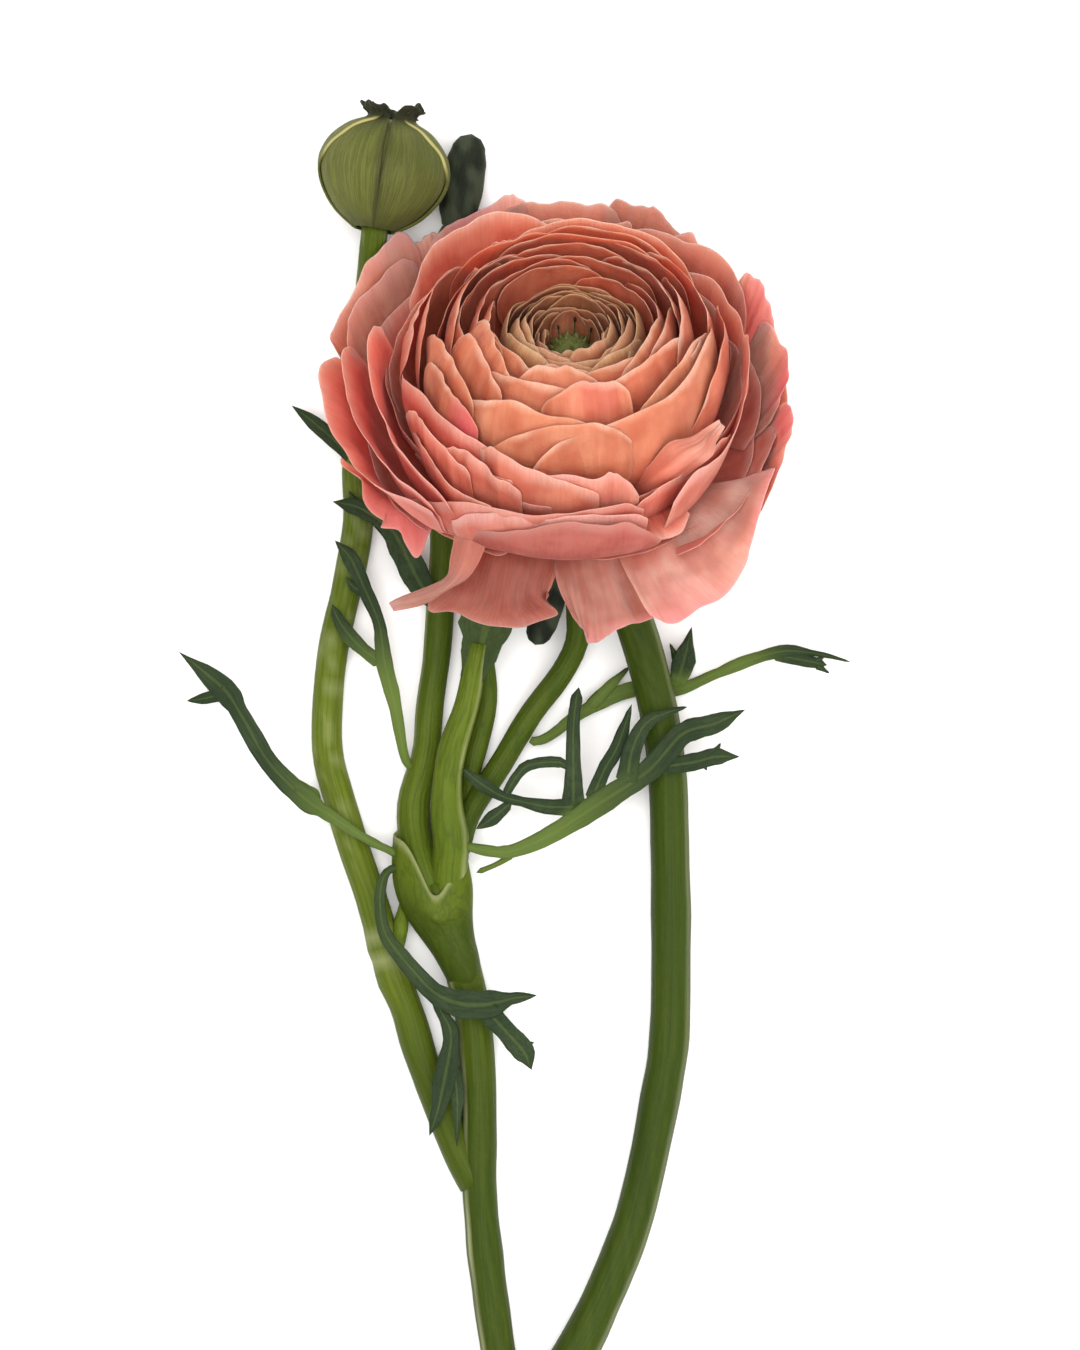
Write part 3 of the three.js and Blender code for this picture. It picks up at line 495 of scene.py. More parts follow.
greenLooks = {
    "stemSkin": {
        "roughness": 0.48, "blotch": 38.0, "veins": 20.0, "veinAlong": 5.0, "face": "525f12", "patch": "626f1f",
        "vein": "3e4b12", "speck": "45530e", "shade": "253406", "paleEdge": "9ea074"},
    "shootSkin": {
        "roughness": 0.48, "blotch": 50.0, "veins": 16.0, "veinAlong": 5.0, "face": "526215", "patch": "657321",
        "vein": "3c4c12", "speck": "4b5b12", "shade": "26360a", "paleEdge": "9ba06c"},
    "leafSkin": {
        "roughness": 0.55, "glow": 0.05, "down": 0.04, "blotch": 90.0, "veins": 14.0, "veinAlong": 9.0,
        "face": "23301c", "patch": "344028", "vein": "172314", "veinShare": 0.5, "speck": "293520", "midrib": 0.14,
        "shade": "101a0e", "paleEdge": "6c8034", "ribs": 1.4},
    "budSkin": {
        "roughness": 0.62, "down": 0.06, "blotch": 110.0, "veins": 34.0, "veinAlong": 2.5, "face": "555b25",
        "patch": "676a34", "vein": "3d421a", "speck": "575233", "shade": "25251b", "paleEdge": "aaa068"},
    "darkBudSkin": {
        "roughness": 0.65, "glow": 0.04, "down": 0.04, "blotch": 120.0, "veins": 26.0, "veinAlong": 3.0,
        "face": "191e15", "patch": "272b1f", "patchy": 0.6, "vein": "0f130c", "veinShare": 0.5, "speck": "1f241b",
        "shade": "0b0d0a", "paleEdge": "505844"},
    "eyeSkin": {
        "roughness": 0.6, "blotch": 200.0, "veins": 12.0, "veinAlong": 2.0, "face": "3f4b20", "patch": "585d2e",
        "vein": "2a3317", "veinShare": 0.4, "speck": "4d5326", "shade": "231e14", "paleEdge": "79744b", "ribs": 0.6},
}
greenSkins = {name: greenMaterial(name, look) for name, look in greenLooks.items()}


def finishGreen(piece, skin, slot, node, **masks):  # masks are "pale" and "dark"
    for name, value in masks.items():
        addMask(piece, name, value)
    finishPiece(piece, greenSkins[skin], node)


floorLook = {"roughness": 0.8, "blotch": 3.0, "patchy": 0.4, "face": "f6f5f4", "patch": "f9f8f7"}


def makeFloorPaint(look):
    look = readLook({}, look)
    material, tree, shader, coordinates = startMaterial("floorPaint", look["roughness"])
    mottle = placeGroup(tree, mottleGroup, Map=coordinates.outputs["Object"], Size=look["blotch"])
    colour = blendNode(tree, times(tree, mottle.outputs["Blotch"], look["patchy"]), look["face"], look["patch"])
    tree.links.new(colour, shader.inputs["Base Color"])
    return material


floor.data.materials.append(makeFloorPaint(floorLook))
print("stage: materials")


# The bloom. Its petals follow nested layers, and a few that hang free have nets of their own.

bloom = {"place": Vector((4, 206.5, 19)), "tilt": 45, "lean": 1.4, "claw": 0.12, "thickness": 0.00028,
         "rimThickness": 0.25, "goldenAngle": 137.508, "heartHeight": 26}
bloomTurn = Matrix.Rotation(-math.radians(bloom["tilt"]), 3, "X")

# Each layer is its number and a curve of [radius, height] from the petals' foot to their rim.
closedLayers = [
    (0, [[2.3, 11], [14.5, 12.5], [17.5, 28], [11.8, 33.5]]),
    (0.3, [[3.2, 8.5], [22, 9.5], [24.5, 28], [17.5, 35.5]]),
    (0.52, [[4, 6], [28, 6.5], [29.5, 25], [24, 34.5]]),
]
sideLayers = closedLayers + [
    (0.7, [[4.6, 4.2], [31, 3.6], [33, 17], [32.5, 30]]),
    (0.85, [[5, 2.4], [33, 0], [34.5, 12], [38.5, 25]]),
    (1, [[5.4, 0.6], [34, -4], [37, 8], [45, 17]]),
]
backLayers = closedLayers + [
    (0.7, [[4.6, 4.2], [31, 3.6], [33.5, 19], [32, 33]]),
    (0.85, [[5, 2.4], [33, -0.2], [35.5, 13], [38.5, 27.5]]),
    (1, [[5.4, 0.6], [35, -4], [39, 8], [44.5, 22]]),
]
frontLayers = closedLayers + [
    (0.7, [[4.6, 4.2], [31, 3], [33.5, 15], [33, 25]]),
    (0.85, [[5, 2.4], [34, -0.2], [38, 9], [37.5, 19]]),
    (1, [[5.4, 0.6], [33, -3.4], [45.5, 4], [45, -4]]),
]
heartLayers = [
    (0, [[1.6, 14], [4.8, 18], [6.9, 26.6], [4.6, 30.8]]),
    (0.5, [[1.9, 13], [9.2, 17], [10.9, 27.6], [7.5, 33.2]]),
    (1, [[2.2, 12], [13.2, 15], [15.8, 28], [11.2, 33.6]]),
]


def layerCurve(layers, layer):
    i = 1
    while i < len(layers) - 1 and layer > layers[i][0]:
        i += 1
    (low, lowCurve), (high, highCurve) = layers[i - 1], layers[i]
    share = (layer - low) / (high - low)
    return [(mix(a[0], b[0], share), mix(a[1], b[1], share)) for a, b in zip(lowCurve, highCurve)]


def layerPoint(isHeart, layer, angle, share):  # radius and height in the bloom
    if isHeart:
        return bezier(layerCurve(heartLayers, layer), share)
    front, back = smooth(0.05, 0.95, -math.sin(angle)), smooth(0.1, 0.9, math.sin(angle))
    curves = [layerCurve(layers, layer) for layers in (frontLayers, backLayers, sideLayers)]
    return bezier([[front * a[i] + back * b[i] + (1 - front - back) * c[i] for i in (0, 1)]
                   for a, b, c in zip(*curves)], share)


def inFlower(point):  # from the bloom's own axes to the drawing
    return bloomTurn @ point + bloom["place"]


plainPetal = {
    "isHeart": False, "roundness": 0.035, "frill": 0.016, "curl": 0.0, "flutes": 0.4, "crinkle": 0.1, "bulge": 0.4,
    "tone": None, "dusty": 0, "dim": 0, "blush": 0, "blushAt": (0.6, 0.9), "blushSize": 0.2,
}


def archedRim(azimuth, width, reach, layer, slope=0.0):  # a plain rounded rim: [azimuth, reach] from side to side
    radius = max(layerPoint(False, layer, math.radians(azimuth), reach)[0], 9)
    half = math.degrees(width / radius)
    return [(azimuth + half * x, reach * (1 - drop + slope * x))
            for x, drop in ((-1, 0.16), (-0.75, 0.06), (-0.4, 0), (0, 0), (0.4, 0), (0.75, 0.06), (1, 0.16))]


def petalSurface(look, s, t):
    rim = look["rim"]
    azimuth, reach, _ = throughPoints([(a, r, 0) for a, r in rim], (s + 1) / 2)
    middle = (rim[0][0] + rim[-1][0]) / 2
    seed = look["seed"]
    frill = 1 + look["frill"] * (wave(s * 2.6, 0, seed) + 0.5 * wave(s * 7, 3, seed)) * smooth(0.5, 1, t)
    frill -= look["frill"] * 0.8 * smooth(0.25, 0.7, wave(s * 4.5, 9, seed)) * smooth(0.8, 1, t)  # small notches
    corner = look["roundness"] * smooth(0.8, 1, abs(s)) + 0.3 * look["roundness"] * abs(s) ** 3
    share = t * reach * frill * (1 - corner * smooth(0.3, 1, t))
    first, last = look["layers"]
    layer = mix(first, last, mix(0.5, (s + 1) / 2, smooth(0.1, 0.6, share)))
    angle = math.radians(middle + (azimuth - middle) * mix(bloom["claw"], 1, smooth(0, 0.68, share)))
    r, w = layerPoint(look["isHeart"], layer, angle, share)
    if look["isHeart"]:
        lean = bloom["lean"] * smooth(12, 23, w)
    else:
        lean = bloom["lean"] * (1 - layer) * smooth(0, 0.5, share)
    return inFlower(Vector((r * math.cos(angle) + lean, r * math.sin(angle), w)))


def netSurface(look, s, t):
    return throughPoints([throughPoints(row, (s + 1) / 2) for row in look["net"]], t)


def petalPoint(look, s, t):  # the surface, with its flutes, bulges, creases and curled rim
    step = 0.01
    surface = netSurface if "net" in look else petalSurface
    point = surface(look, s, t)
    across = surface(look, s + step, t) - surface(look, s - step, t)
    lengthwise = surface(look, s, min(t + step, 1)) - surface(look, s, max(t - step, 0))
    outward = across.cross(lengthwise)
    if outward.length > 0:
        outward.normalize()
    seed = look["seed"]
    lift = look["flutes"] * smooth(0.3, 1, t) * (wave(s * 2.4, t * 0.6, seed + 11) + 0.5 * wave(s * 6, t, seed + 17))
    lift += look["bulge"] * smooth(0.15, 0.5, t) * wave(s * 1.1, t * 1.6, seed + 23)
    lift += look["crinkle"] * smooth(0.45, 1, t) * math.sin(s * 21 + 2.5 * wave(s * 2, t, seed + 29) + seed)
    lift += look["curl"] * smooth(0.8, 1, t) ** 1.5
    return aboveFloor(point + outward * lift, 0.5)


def makePetal(name, node, skin, look, size):
    look = {**plainPetal, **look}
    piece = copyBlank(name, *size)
    thick = piece.vertex_groups.new(name="thick")
    for i, vertex in enumerate(piece.data.vertices):
        edge = max((vertex.co.y + 1) / 2, abs(vertex.co.x))
        thick.add([i], 1 - 0.75 * smooth(0.8, 1, edge), "REPLACE")
    layOut(piece, lambda s, t: petalPoint(look, s, t))
    thicken(piece, bloom["thickness"], vertex_group="thick", thickness_vertex_group=bloom["rimThickness"])
    piece.vertex_groups.clear()
    tone = look["tone"]
    addMask(piece, "tone", tone if tone is not None else random.random())
    addMask(piece, "dusty", look["dusty"])
    # painted shade over the whole petal, for petals that lie in shade
    addMask(piece, "dim", look["dim"])
    blushU, blushV = look["blushAt"]
    addCornerMask(piece, "blush", lambda u, v, i: look["blush"] * (
        1 - smooth(0.2, 1.2, math.hypot(u - blushU, v - blushV) / look["blushSize"])))
    inner = piece.data.attributes.new("inner", "FLOAT", "FACE")  # the side that faces the bloom's middle
    centre = inFrame(inFlower(Vector((bloom["lean"], 0, bloom["heartHeight"]))))
    for i, face in enumerate(piece.data.polygons):
        inner.data[i].value = 1.0 if face.normal.dot(centre - face.center) > 0 else 0.0
    finishPiece(piece, petalSkins[skin], node)


random.seed(11)

heart = {"count": 40, "start": 40, "widths": (2.8, 8.5), "radii": (4.5, 11), "shorter": 0.12, "size": (12, 10),
         "rim": ((-1, 0.12), (-0.6, 0.02), (0, 0), (0.6, 0.02), (1, 0.12)), "curl": -0.6, "dusty": 0.5,
         "step": 0.04, "seed": 100,
         "look": {"isHeart": True, "frill": 0.04, "flutes": 0.3, "bulge": 0.35, "crinkle": 0.06}}
for i in range(heart["count"]):
    share = i / (heart["count"] - 1)
    azimuth = heart["start"] + i * bloom["goldenAngle"]
    half = math.degrees(mix(*heart["widths"], share) / mix(*heart["radii"], share))
    reach = 1 - heart["shorter"] * random.random()
    makePetal(f"heartPetal{i + 1:02d}", "heart_petals", "heartSkin", {
        **heart["look"], "layers": (share - heart["step"] if i else 0, share),
        "rim": [(azimuth + half * x, reach * (1 - drop)) for x, drop in heart["rim"]],
        "curl": heart["curl"] * random.random(), "dusty": heart["dusty"] * random.random(),
        "seed": heart["seed"] + i}, heart["size"])

# The closed ball. The part's ten petals come first, each by its number, then fillers that lie beside them.
ball = {"layers": (0.06, 0.54), "start": 200, "count": 10, "seed": 200, "size": (20, 16)}
ballPlaces = [(mix(*ball["layers"], i / (ball["count"] - 1)), ball["start"] + i * bloom["goldenAngle"])
              for i in range(ball["count"])]
ballPetals = {
    "leftTip": {"node": 1, "layers": (0.18, 0.25), "tone": 0.8, "rim": [(182.7, 0.96), (195.2, 1.05), (213, 1.03),
        (228.9, 0.97), (242.7, 0.89)]},
    "rightInner": {"node": 2, "layers": (0.11, 0.12), "rim": archedRim(337.5, 10, 0.97, 0.11)},
    "backInner": {"node": 3, "layers": (0.16, 0.17), "rim": archedRim(115, 11, 0.97, 0.167)},
    "topFront": {"node": 4, "layers": (0.2, 0.2), "tone": 0.9, "rim": [(239.2, 0.94), (253.8, 1.02), (273.2, 1.02),
        (288.1, 0.95)]},
    "rightMiddle": {"node": 5, "layers": (0.27, 0.28), "rim": archedRim(30, 12, 0.97, 0.273)},
    "leftMiddle": {"node": 6, "layers": (0.33, 0.33), "rim": archedRim(160, 13, 0.97, 0.327)},
    "pinkEdged": {"node": 7, "layers": (0.38, 0.4), "tone": 0.7, "blush": 0.22, "blushAt": (0.6, 1.04),
        "blushSize": 0.32, "rim": [(257.3, 0.92), (265.8, 0.99), (278.2, 1.03), (291.7, 1.01), (299, 0.97)]},
    "backOuter": {"node": 8, "layers": (0.43, 0.44), "rim": archedRim(82.6, 16, 0.97, 0.433)},
    "broadFront": {"node": 9, "layers": (0.48, 0.5), "tone": 0.95, "rim": [(219, 0.8), (225, 0.86), (231.9, 0.9),
        (240.9, 0.95), (249.9, 0.97), (266.9, 0.94), (284.2, 0.87)]},
    "rightSweep": {"node": 10, "layers": (0.6, 0.5), "tone": 0.75, "rim": [(256, 0.8), (261.3, 0.86), (267.6, 0.92),
        (281.9, 0.96), (298.2, 0.97), (313, 0.95), (328.9, 0.95), (346.2, 0.96), (363.3, 0.91)]},
    "lowFront": {"node": 9, "layers": (0.54, 0.57), "tone": 0.8, "rim": [(241, 0.74), (244.9, 0.8), (252.5, 0.89),
        (263.6, 0.97), (278.5, 0.99), (286.5, 0.97), (294, 0.9)]},
    "leftPoint": {"node": 6, "layers": (0.42, 0.48), "tone": 0.8, "curl": 0.5, "rim": [(176, 0.7), (187, 0.9),
        (195.7, 0.96), (204.8, 0.99), (217.1, 0.97), (231, 0.9)]},
    "leftUpper": {"node": 1, "layers": (0.32, 0.38), "tone": 0.7, "rim": [(194, 0.89), (202.6, 1.01), (217, 1.02),
        (229.3, 0.96), (239.6, 0.91)]},
    "leftSpot": {"node": 9, "layers": (0.5, 0.56), "tone": 0.75, "blush": 0.75, "blushAt": (0.9, 0.78),
        "blushSize": 0.4, "rim": [(196, 0.84), (204.9, 0.92), (214.5, 0.93), (222.1, 0.92), (228.3, 0.92),
        (236.3, 0.89)]},
    "rightBehind": {"node": 7, "layers": (0.3, 0.3), "rim": archedRim(318, 12, 0.96, 0.3)},
    "rightUnder": {"node": 7, "layers": (0.44, 0.44), "rim": archedRim(330, 13, 0.95, 0.44)},
    "frontBehind": {"node": 4, "layers": (0.3, 0.32), "rim": archedRim(250, 11, 0.95, 0.3), "tone": 0.8},
    "frontInner": {"node": 4, "layers": (0.08, 0.09), "rim": archedRim(300, 9, 0.96, 0.08)},
    "leftInner": {"node": 1, "layers": (0.06, 0.08), "rim": archedRim(215, 9, 0.97, 0.06)},
    "frontFirst": {"node": 4, "layers": (0.02, 0.03), "rim": archedRim(262, 8, 0.97, 0.02)},
}
fillers = {"count": 20, "layers": (0.03, 0.57), "start": -28, "spread": 222, "first": 0.35, "step": 0.618,
           "widths": (9, 15), "reach": 0.97, "shorter": 0.05, "slope": 0.08, "tone": 0.5, "depth": 0.012}
for k in range(fillers["count"]):  # they go round the back and the sides
    layer = mix(*fillers["layers"], k / (fillers["count"] - 1))
    azimuth = fillers["start"] + fillers["spread"] * ((fillers["first"] + k * fillers["step"]) % 1)
    ballPetals[f"filler{k + 1:02d}"] = {
        "layers": (layer, layer + fillers["depth"]), "tone": fillers["tone"] * random.random(),
        "rim": archedRim(azimuth, mix(*fillers["widths"], layer / fillers["layers"][1]),
                         fillers["reach"] - fillers["shorter"] * random.random(), layer,
                         fillers["slope"] * (random.random() - 0.5))}


def nearestPlace(places, look):  # the number of the part's petal that lies nearest
    middle = (look["rim"][0][0] + look["rim"][-1][0]) / 2

    def far(i):
        layer, azimuth = places[i]
        return 4 * abs(layer - look["layers"][0]) + 1 - math.cos(math.radians(middle - azimuth))
    return min(range(len(places)), key=far) + 1


for i, (name, look) in enumerate(ballPetals.items()):
    number = look.get("node") or nearestPlace(ballPlaces, look)
    makePetal("ballPetal-" + name, f"ball_petal_{number:02d}", "ballSkin",
              {"seed": ball["seed"] + i, **look}, ball["size"])
print("stage: closed petals")

# The opened petals: those that follow the layers, and those that hang free. A net is rows of points
# [x, y, z] from the petal's foot to its rim, and every net starts from the same foot.
opened = {"seed": 300, "size": (28, 18), "netSize": (40, 18), "width": 22}
clawRow = [(3, 203.1, 23.5), (3.9, 203.4, 23), (4.8, 203.1, 23.5)]
openPetals = {
    "collarLeft": {"node": 1, "layers": (0.65, 0.7), "tone": 0.5, "curl": 0.5, "rim": [(207, 0.86), (214.8, 0.97),
        (221.4, 1), (228.1, 0.99), (234.2, 0.97), (240.3, 0.96)]},
    "collarBack": {"node": 2, "layers": (0.61, 0.61), "rim": archedRim(75, 18, 0.96, 0.61), "tone": 0.7},
    "rightUpright": {"node": 3, "layers": (0.8, 0.65), "tone": 0.6, "dusty": 0.3, "curl": 0.6, "rim": [(300, 0.98),
        (306.3, 1.02), (312.7, 0.98), (319.6, 0.92), (329.2, 0.87), (337.6, 0.87), (343.3, 0.9), (349, 0.95),
        (358, 0.97), (368, 0.9)]},
    "leftBack": {"node": 4, "layers": (0.6, 0.55), "tone": 0.7, "curl": 1.4, "rim": [(186, 0.86), (182.1, 0.93),
        (174.1, 0.93), (166.6, 0.95), (161.6, 0.98), (155.6, 1), (143.4, 0.96), (134, 0.9)]},
    "stackFirst": {"node": 5, "layers": (0.65, 0.8), "tone": 0.55, "curl": 0.5, "rim": [(212, 0.8), (218.2, 0.9),
        (224.4, 0.93), (230.5, 0.94), (236.5, 0.95), (243.1, 0.97), (251.2, 1)]},
    "collarRight": {"node": 6, "layers": (0.69, 0.7), "rim": archedRim(22, 17, 0.86, 0.7), "tone": 0.7,
        "dusty": 0.3},
    "ringPink": {"node": 7, "layers": (0.65, 0.7), "tone": 0.6, "dusty": 0.3, "rim": [(250, 0.8), (260, 0.92),
        (269.6, 0.97), (279.8, 0.93), (284.1, 0.99), (287.9, 0.97), (292.6, 0.85)]},
    "topLeftInner": {"node": 8, "layers": (0.74, 0.75), "rim": archedRim(118, 17, 0.97, 0.745), "tone": 0.6},
    "stackSecond": {"node": 9, "layers": (0.67, 0.82), "tone": 0.2, "curl": 1.9, "rim": [(168, 0.9), (176, 0.97),
        (185.1, 1), (195, 1.03), (204.2, 1.04), (211.6, 1.04), (217.6, 1.04), (224.6, 1.04), (231.9, 1.04),
        (239.8, 1.02)]},
    "rightLower": {"node": 10, "layers": (0.95, 0.9), "tone": 0.6, "dusty": 0.7, "blush": 0.5, "blushAt": (0.75, 1),
        "blushSize": 0.3, "rim": [(318, 0.85), (330, 0.92), (337, 0.98), (341, 1.02), (345, 1.01), (350.1, 0.95),
        (355.4, 0.87)]},
    "ringUpper": {"node": 11, "layers": (0.85, 0.75), "tone": 0.35, "dusty": 0.1, "dim": 0.3, "curl": 0.4,
        "rim": [(224, 0.88), (230.4, 0.92), (236.6, 0.97), (243.8, 1), (252.2, 1), (263.1, 0.99), (272.7, 0.97),
        (279.7, 0.96), (287, 0.95), (293, 0.9)]},
    "topRightInner": {"node": 12, "layers": (0.84, 0.86), "rim": archedRim(52, 18, 0.95, 0.85), "tone": 0.7,
        "dim": 0.45, "dusty": 0.3},
    "leftPale": {"node": 13, "layers": (0.95, 0.85), "tone": 1, "dusty": 0.5, "dim": 0.15, "curl": 0.5,
        "rim": [(128, 0.9), (132.9, 0.95), (140.2, 0.94), (149.7, 0.95), (158.4, 0.97), (166.6, 0.96),
        (175.2, 0.94)]},
    "rightPink": {"node": 14, "layers": (0.9, 0.9), "tone": 0.6, "dusty": 0.8, "blush": 0.6, "blushAt": (0.4, 1),
        "blushSize": 0.3, "rim": [(352, 0.8), (356.8, 0.86), (359, 0.91), (363.1, 0.94), (369.4, 0.94),
        (376.6, 0.91), (386, 0.9)]},
    "topMiddle": {"node": 15, "layers": (0.97, 0.97), "tone": 0.75, "dusty": 0.3, "dim": 0.45, "frill": 0.02,
        "rim": [(74, 0.97), (79.3, 1.01), (84.6, 1.01), (90.6, 1.02), (96.5, 1.01), (101.4, 1.01), (108, 0.98)]},
    "stackThird": {"node": 11, "layers": (0.8, 0.85), "tone": 0.1, "dusty": 0.15, "curl": 2, "rim": [(170, 0.9),
        (179.4, 0.97), (186.9, 0.97), (195.7, 0.98), (203, 0.99), (211.1, 1), (220.8, 1.02), (228.5, 1.03),
        (235.4, 1.02)]},
    "stackFourth": {"node": 17, "layers": (0.95, 0.85), "tone": 0.1, "dusty": 0.3, "curl": 1.8, "rim": [(164, 0.9),
        (172.8, 0.96), (181.9, 0.97), (193.2, 0.98), (201, 0.99), (208, 0.97), (215.1, 0.97), (226.4, 1),
        (234.5, 0.98)]},
    "underLeft": {"node": 11, "layers": (0.65, 0.7), "tone": 0.65, "rim": [(226, 0.86), (230.7, 0.94),
        (236.4, 0.99), (242.5, 1), (248.8, 0.96), (256.3, 0.92)]},
    "underMiddle": {"node": 7, "layers": (0.6, 0.7), "tone": 0.75, "rim": [(236, 0.82), (240.7, 0.9), (244.8, 0.98),
        (251.3, 1), (260.1, 0.98), (269.6, 0.97), (280.1, 0.93)]},
    "ringLower": {"node": 7, "layers": (0.84, 0.84), "tone": 0.1, "dusty": 0.25, "dim": 0.6, "frill": 0.03,
        "rim": [(240, 0.7), (245, 0.8), (251, 0.86), (257, 0.94), (264, 0.955), (272, 1.01), (280, 0.98),
        (287, 0.99), (293, 0.88), (298, 0.72)]},
    "rightHigh": {"node": 14, "layers": (0.93, 0.93), "tone": 0.7, "dusty": 0.8, "blush": 0.4, "blushAt": (0.5, 1),
        "blushSize": 0.4, "rim": [(14, 0.82), (19.3, 0.89), (23.2, 0.93), (27.2, 0.97), (30.9, 0.99), (34.1, 0.99),
        (37.2, 0.98), (39.5, 0.93)]},
    "topRightLow": {"node": 12, "layers": (0.96, 0.96), "tone": 0.3, "dusty": 0.7, "dim": 0.3, "frill": 0.03,
        "rim": [(34, 0.88), (41.2, 0.91), (45.6, 0.93), (48.1, 0.96), (51.7, 0.95), (55.7, 0.96), (59.4, 0.96),
        (66, 0.93)]},
    "topRight": {"node": 12, "layers": (0.99, 0.99), "tone": 0.8, "dusty": 0.8, "dim": 0.75, "frill": 0.02,
        "rim": [(52, 0.9), (57.8, 0.95), (63.3, 0.99), (66.8, 1.03), (70.6, 1.04), (76.6, 1.05), (80.3, 1.04)]},
    "topLeft": {"node": 15, "layers": (0.98, 0.98), "tone": 0.8, "dusty": 0.5, "blush": 0.5, "blushAt": (0.6, 0.85),
        "blushSize": 0.25, "rim": [(97, 1), (100.4, 1.04), (102.7, 1.05), (107.2, 1.03), (112.8, 1.01),
        (117.5, 1.01), (121.1, 1), (127, 0.93)]},
    "leftFar": {"node": 13, "layers": (0.97, 0.95), "tone": 0.9, "dusty": 0.6, "dim": 0.15, "frill": 0.02,
        "rim": [(127.4, 1), (130, 1.05), (133.6, 1.06), (138.9, 1.04), (145.9, 1.01), (153.4, 0.99), (161.2, 0.99),
        (165.2, 0.98), (167, 0.93), (168, 0.86)]},
    "topLeftPale": {"node": 8, "layers": (1, 1), "tone": 1, "dusty": 0.4, "curl": 0.6, "rim": [(117, 0.9),
        (120.1, 0.97), (123.2, 0.98), (126.4, 0.98), (128.6, 0.93)]},
    "topBand": {"node": 15, "layers": (0.85, 0.85), "tone": 0.95, "dim": 0.15, "curl": 0.8, "rim": [(106, 0.86),
        (101.3, 0.93), (95, 0.93), (86.8, 0.93), (80, 0.92), (76, 0.85)]},
    "topBandRight": {"node": 12, "layers": (0.93, 0.93), "tone": 1, "curl": 0.8, "rim": [(82, 0.88), (79.8, 0.92),
        (76.9, 0.94), (73, 0.95), (70.7, 0.91), (68, 0.82)]},
    "topPatch": {"node": 2, "layers": (0.55, 0.5), "tone": 1, "curl": 0.8, "rim": [(124, 0.85), (120.8, 0.93),
        (115.7, 0.95), (109.9, 0.9), (105, 0.82)]},
    "backLeftPatch": {"node": 4, "layers": (0.45, 0.3), "tone": 0.8, "curl": 0.8, "rim": [(142, 0.8), (136.8, 0.88),
        (134.8, 0.93), (126.2, 0.93), (116.3, 0.91), (108, 0.85)]},
    "underStack": {"node": 1, "layers": (0.6, 0.62), "rim": archedRim(222, 17, 0.93, 0.61), "tone": 0.3},
    "underFront": {"node": 5, "layers": (0.66, 0.66), "rim": archedRim(246, 15, 0.86, 0.66), "tone": 0.3},
    "behindRight": {"node": 14, "layers": (0.94, 0.94), "rim": archedRim(356, 20, 0.84, 0.94), "tone": 0.6,
        "dusty": 0.7},
    "behindLowRight": {"node": 10, "layers": (0.9, 0.9), "rim": archedRim(328, 18, 0.84, 0.9), "tone": 0.3,
        "dusty": 0.4},
    "underRight": {"node": 3, "layers": (0.72, 0.7), "rim": archedRim(312, 13, 0.88, 0.7), "tone": 0.4},
    "hangingRight": {"node": 16, "tone": 0.95, "dusty": 1, "dim": 0.2, "blush": 0.25, "blushAt": (0.3, 1),
        "blushSize": 0.3, "flutes": 1, "bulge": 1, "net": [
        clawRow,
        [(11.2, 197.5, 31), (13.3, 198.5, 32), (15.8, 199.4, 32), (17.9, 200.3, 32), (20.2, 201, 31)],
        [(13.6, 188.9, 39), (18.2, 189.6, 40), (22.9, 193, 40), (27.8, 197.2, 40), (32.7, 201.8, 38)],
        [(16.3, 183.2, 43), (21.1, 182.9, 44), (27.7, 187, 44), (32.9, 193.3, 43.5), (37.5, 202.8, 40)],
        [(19.4, 178.7, 44), (21.4, 177.2, 45), (24.2, 177.3, 45.5), (27.6, 179.8, 45), (31.1, 181.3, 45),
         (33.7, 183.9, 45), (35.8, 187.7, 45), (36.8, 191.5, 45), (39.1, 197.1, 44), (41.5, 203.6, 41)]]},
    "hangingMiddle": {"node": 18, "tone": 0.9, "dusty": 1, "dim": 0.48, "flutes": 0.9, "bulge": 0.8, "net": [
        clawRow,
        [(1.4, 195.3, 33), (5.2, 195.3, 34), (9.6, 195.3, 34), (14, 195.3, 33)],
        [(2.1, 188.2, 38), (6.1, 188.2, 39.5), (10.4, 187.8, 39.5), (15.3, 187.9, 37.5)],
        [(3.5, 182.6, 42), (7.4, 180.8, 43.5), (12.5, 180.1, 43), (17.7, 181.2, 40)],
        [(6.2, 178.4, 44.5), (7.4, 175.6, 45.5), (8.3, 173.5, 46), (10.7, 174.1, 45.5), (13, 175.6, 45),
         (16.4, 177, 43.5), (20.3, 178.1, 41)]]},
    "hangingLeft": {"node": 19, "tone": 0.2, "dusty": 0.7, "dim": 0.82, "flutes": 0.9, "bulge": 0.8, "net": [
        clawRow,
        [(-10.9, 195.7, 33), (-6.1, 195.3, 34.5), (-1.7, 195.3, 34.5), (3.2, 195.7, 33)],
        [(-14.8, 188.2, 38.5), (-8.7, 187.8, 40), (-2.1, 187.8, 39.5), (3.5, 188.2, 37.5)],
        [(-17.3, 182.9, 42), (-10.4, 181.2, 43.5), (-3.5, 180.8, 43), (2.1, 184, 40.5)],
        [(-19.4, 180.7, 42.5), (-19, 178.9, 43.5), (-15.6, 179.1, 44.5), (-13.8, 178.5, 45), (-11.4, 177, 45),
         (-7.4, 176, 45.5), (-3.1, 176, 45), (0, 177.3, 44.5), (3.3, 178.9, 43), (1.9, 180.7, 42),
         (1.4, 181.9, 41.5)]]},
    "curledStrip": {"node": 17, "tone": 1, "dusty": 0.9, "dim": 0.4, "flutes": 0.1, "bulge": 0.1, "net": [
        clawRow,
        [(-13.9, 196.5, 41), (-11.1, 196.4, 42.5), (-8, 196.5, 41)],
        [(-14.7, 192.3, 46.5), (-12, 192.3, 48), (-8.8, 192.3, 46.5)],
        [(-15.5, 188, 48.5), (-13, 187.7, 50.5), (-10.3, 188, 48.5)],
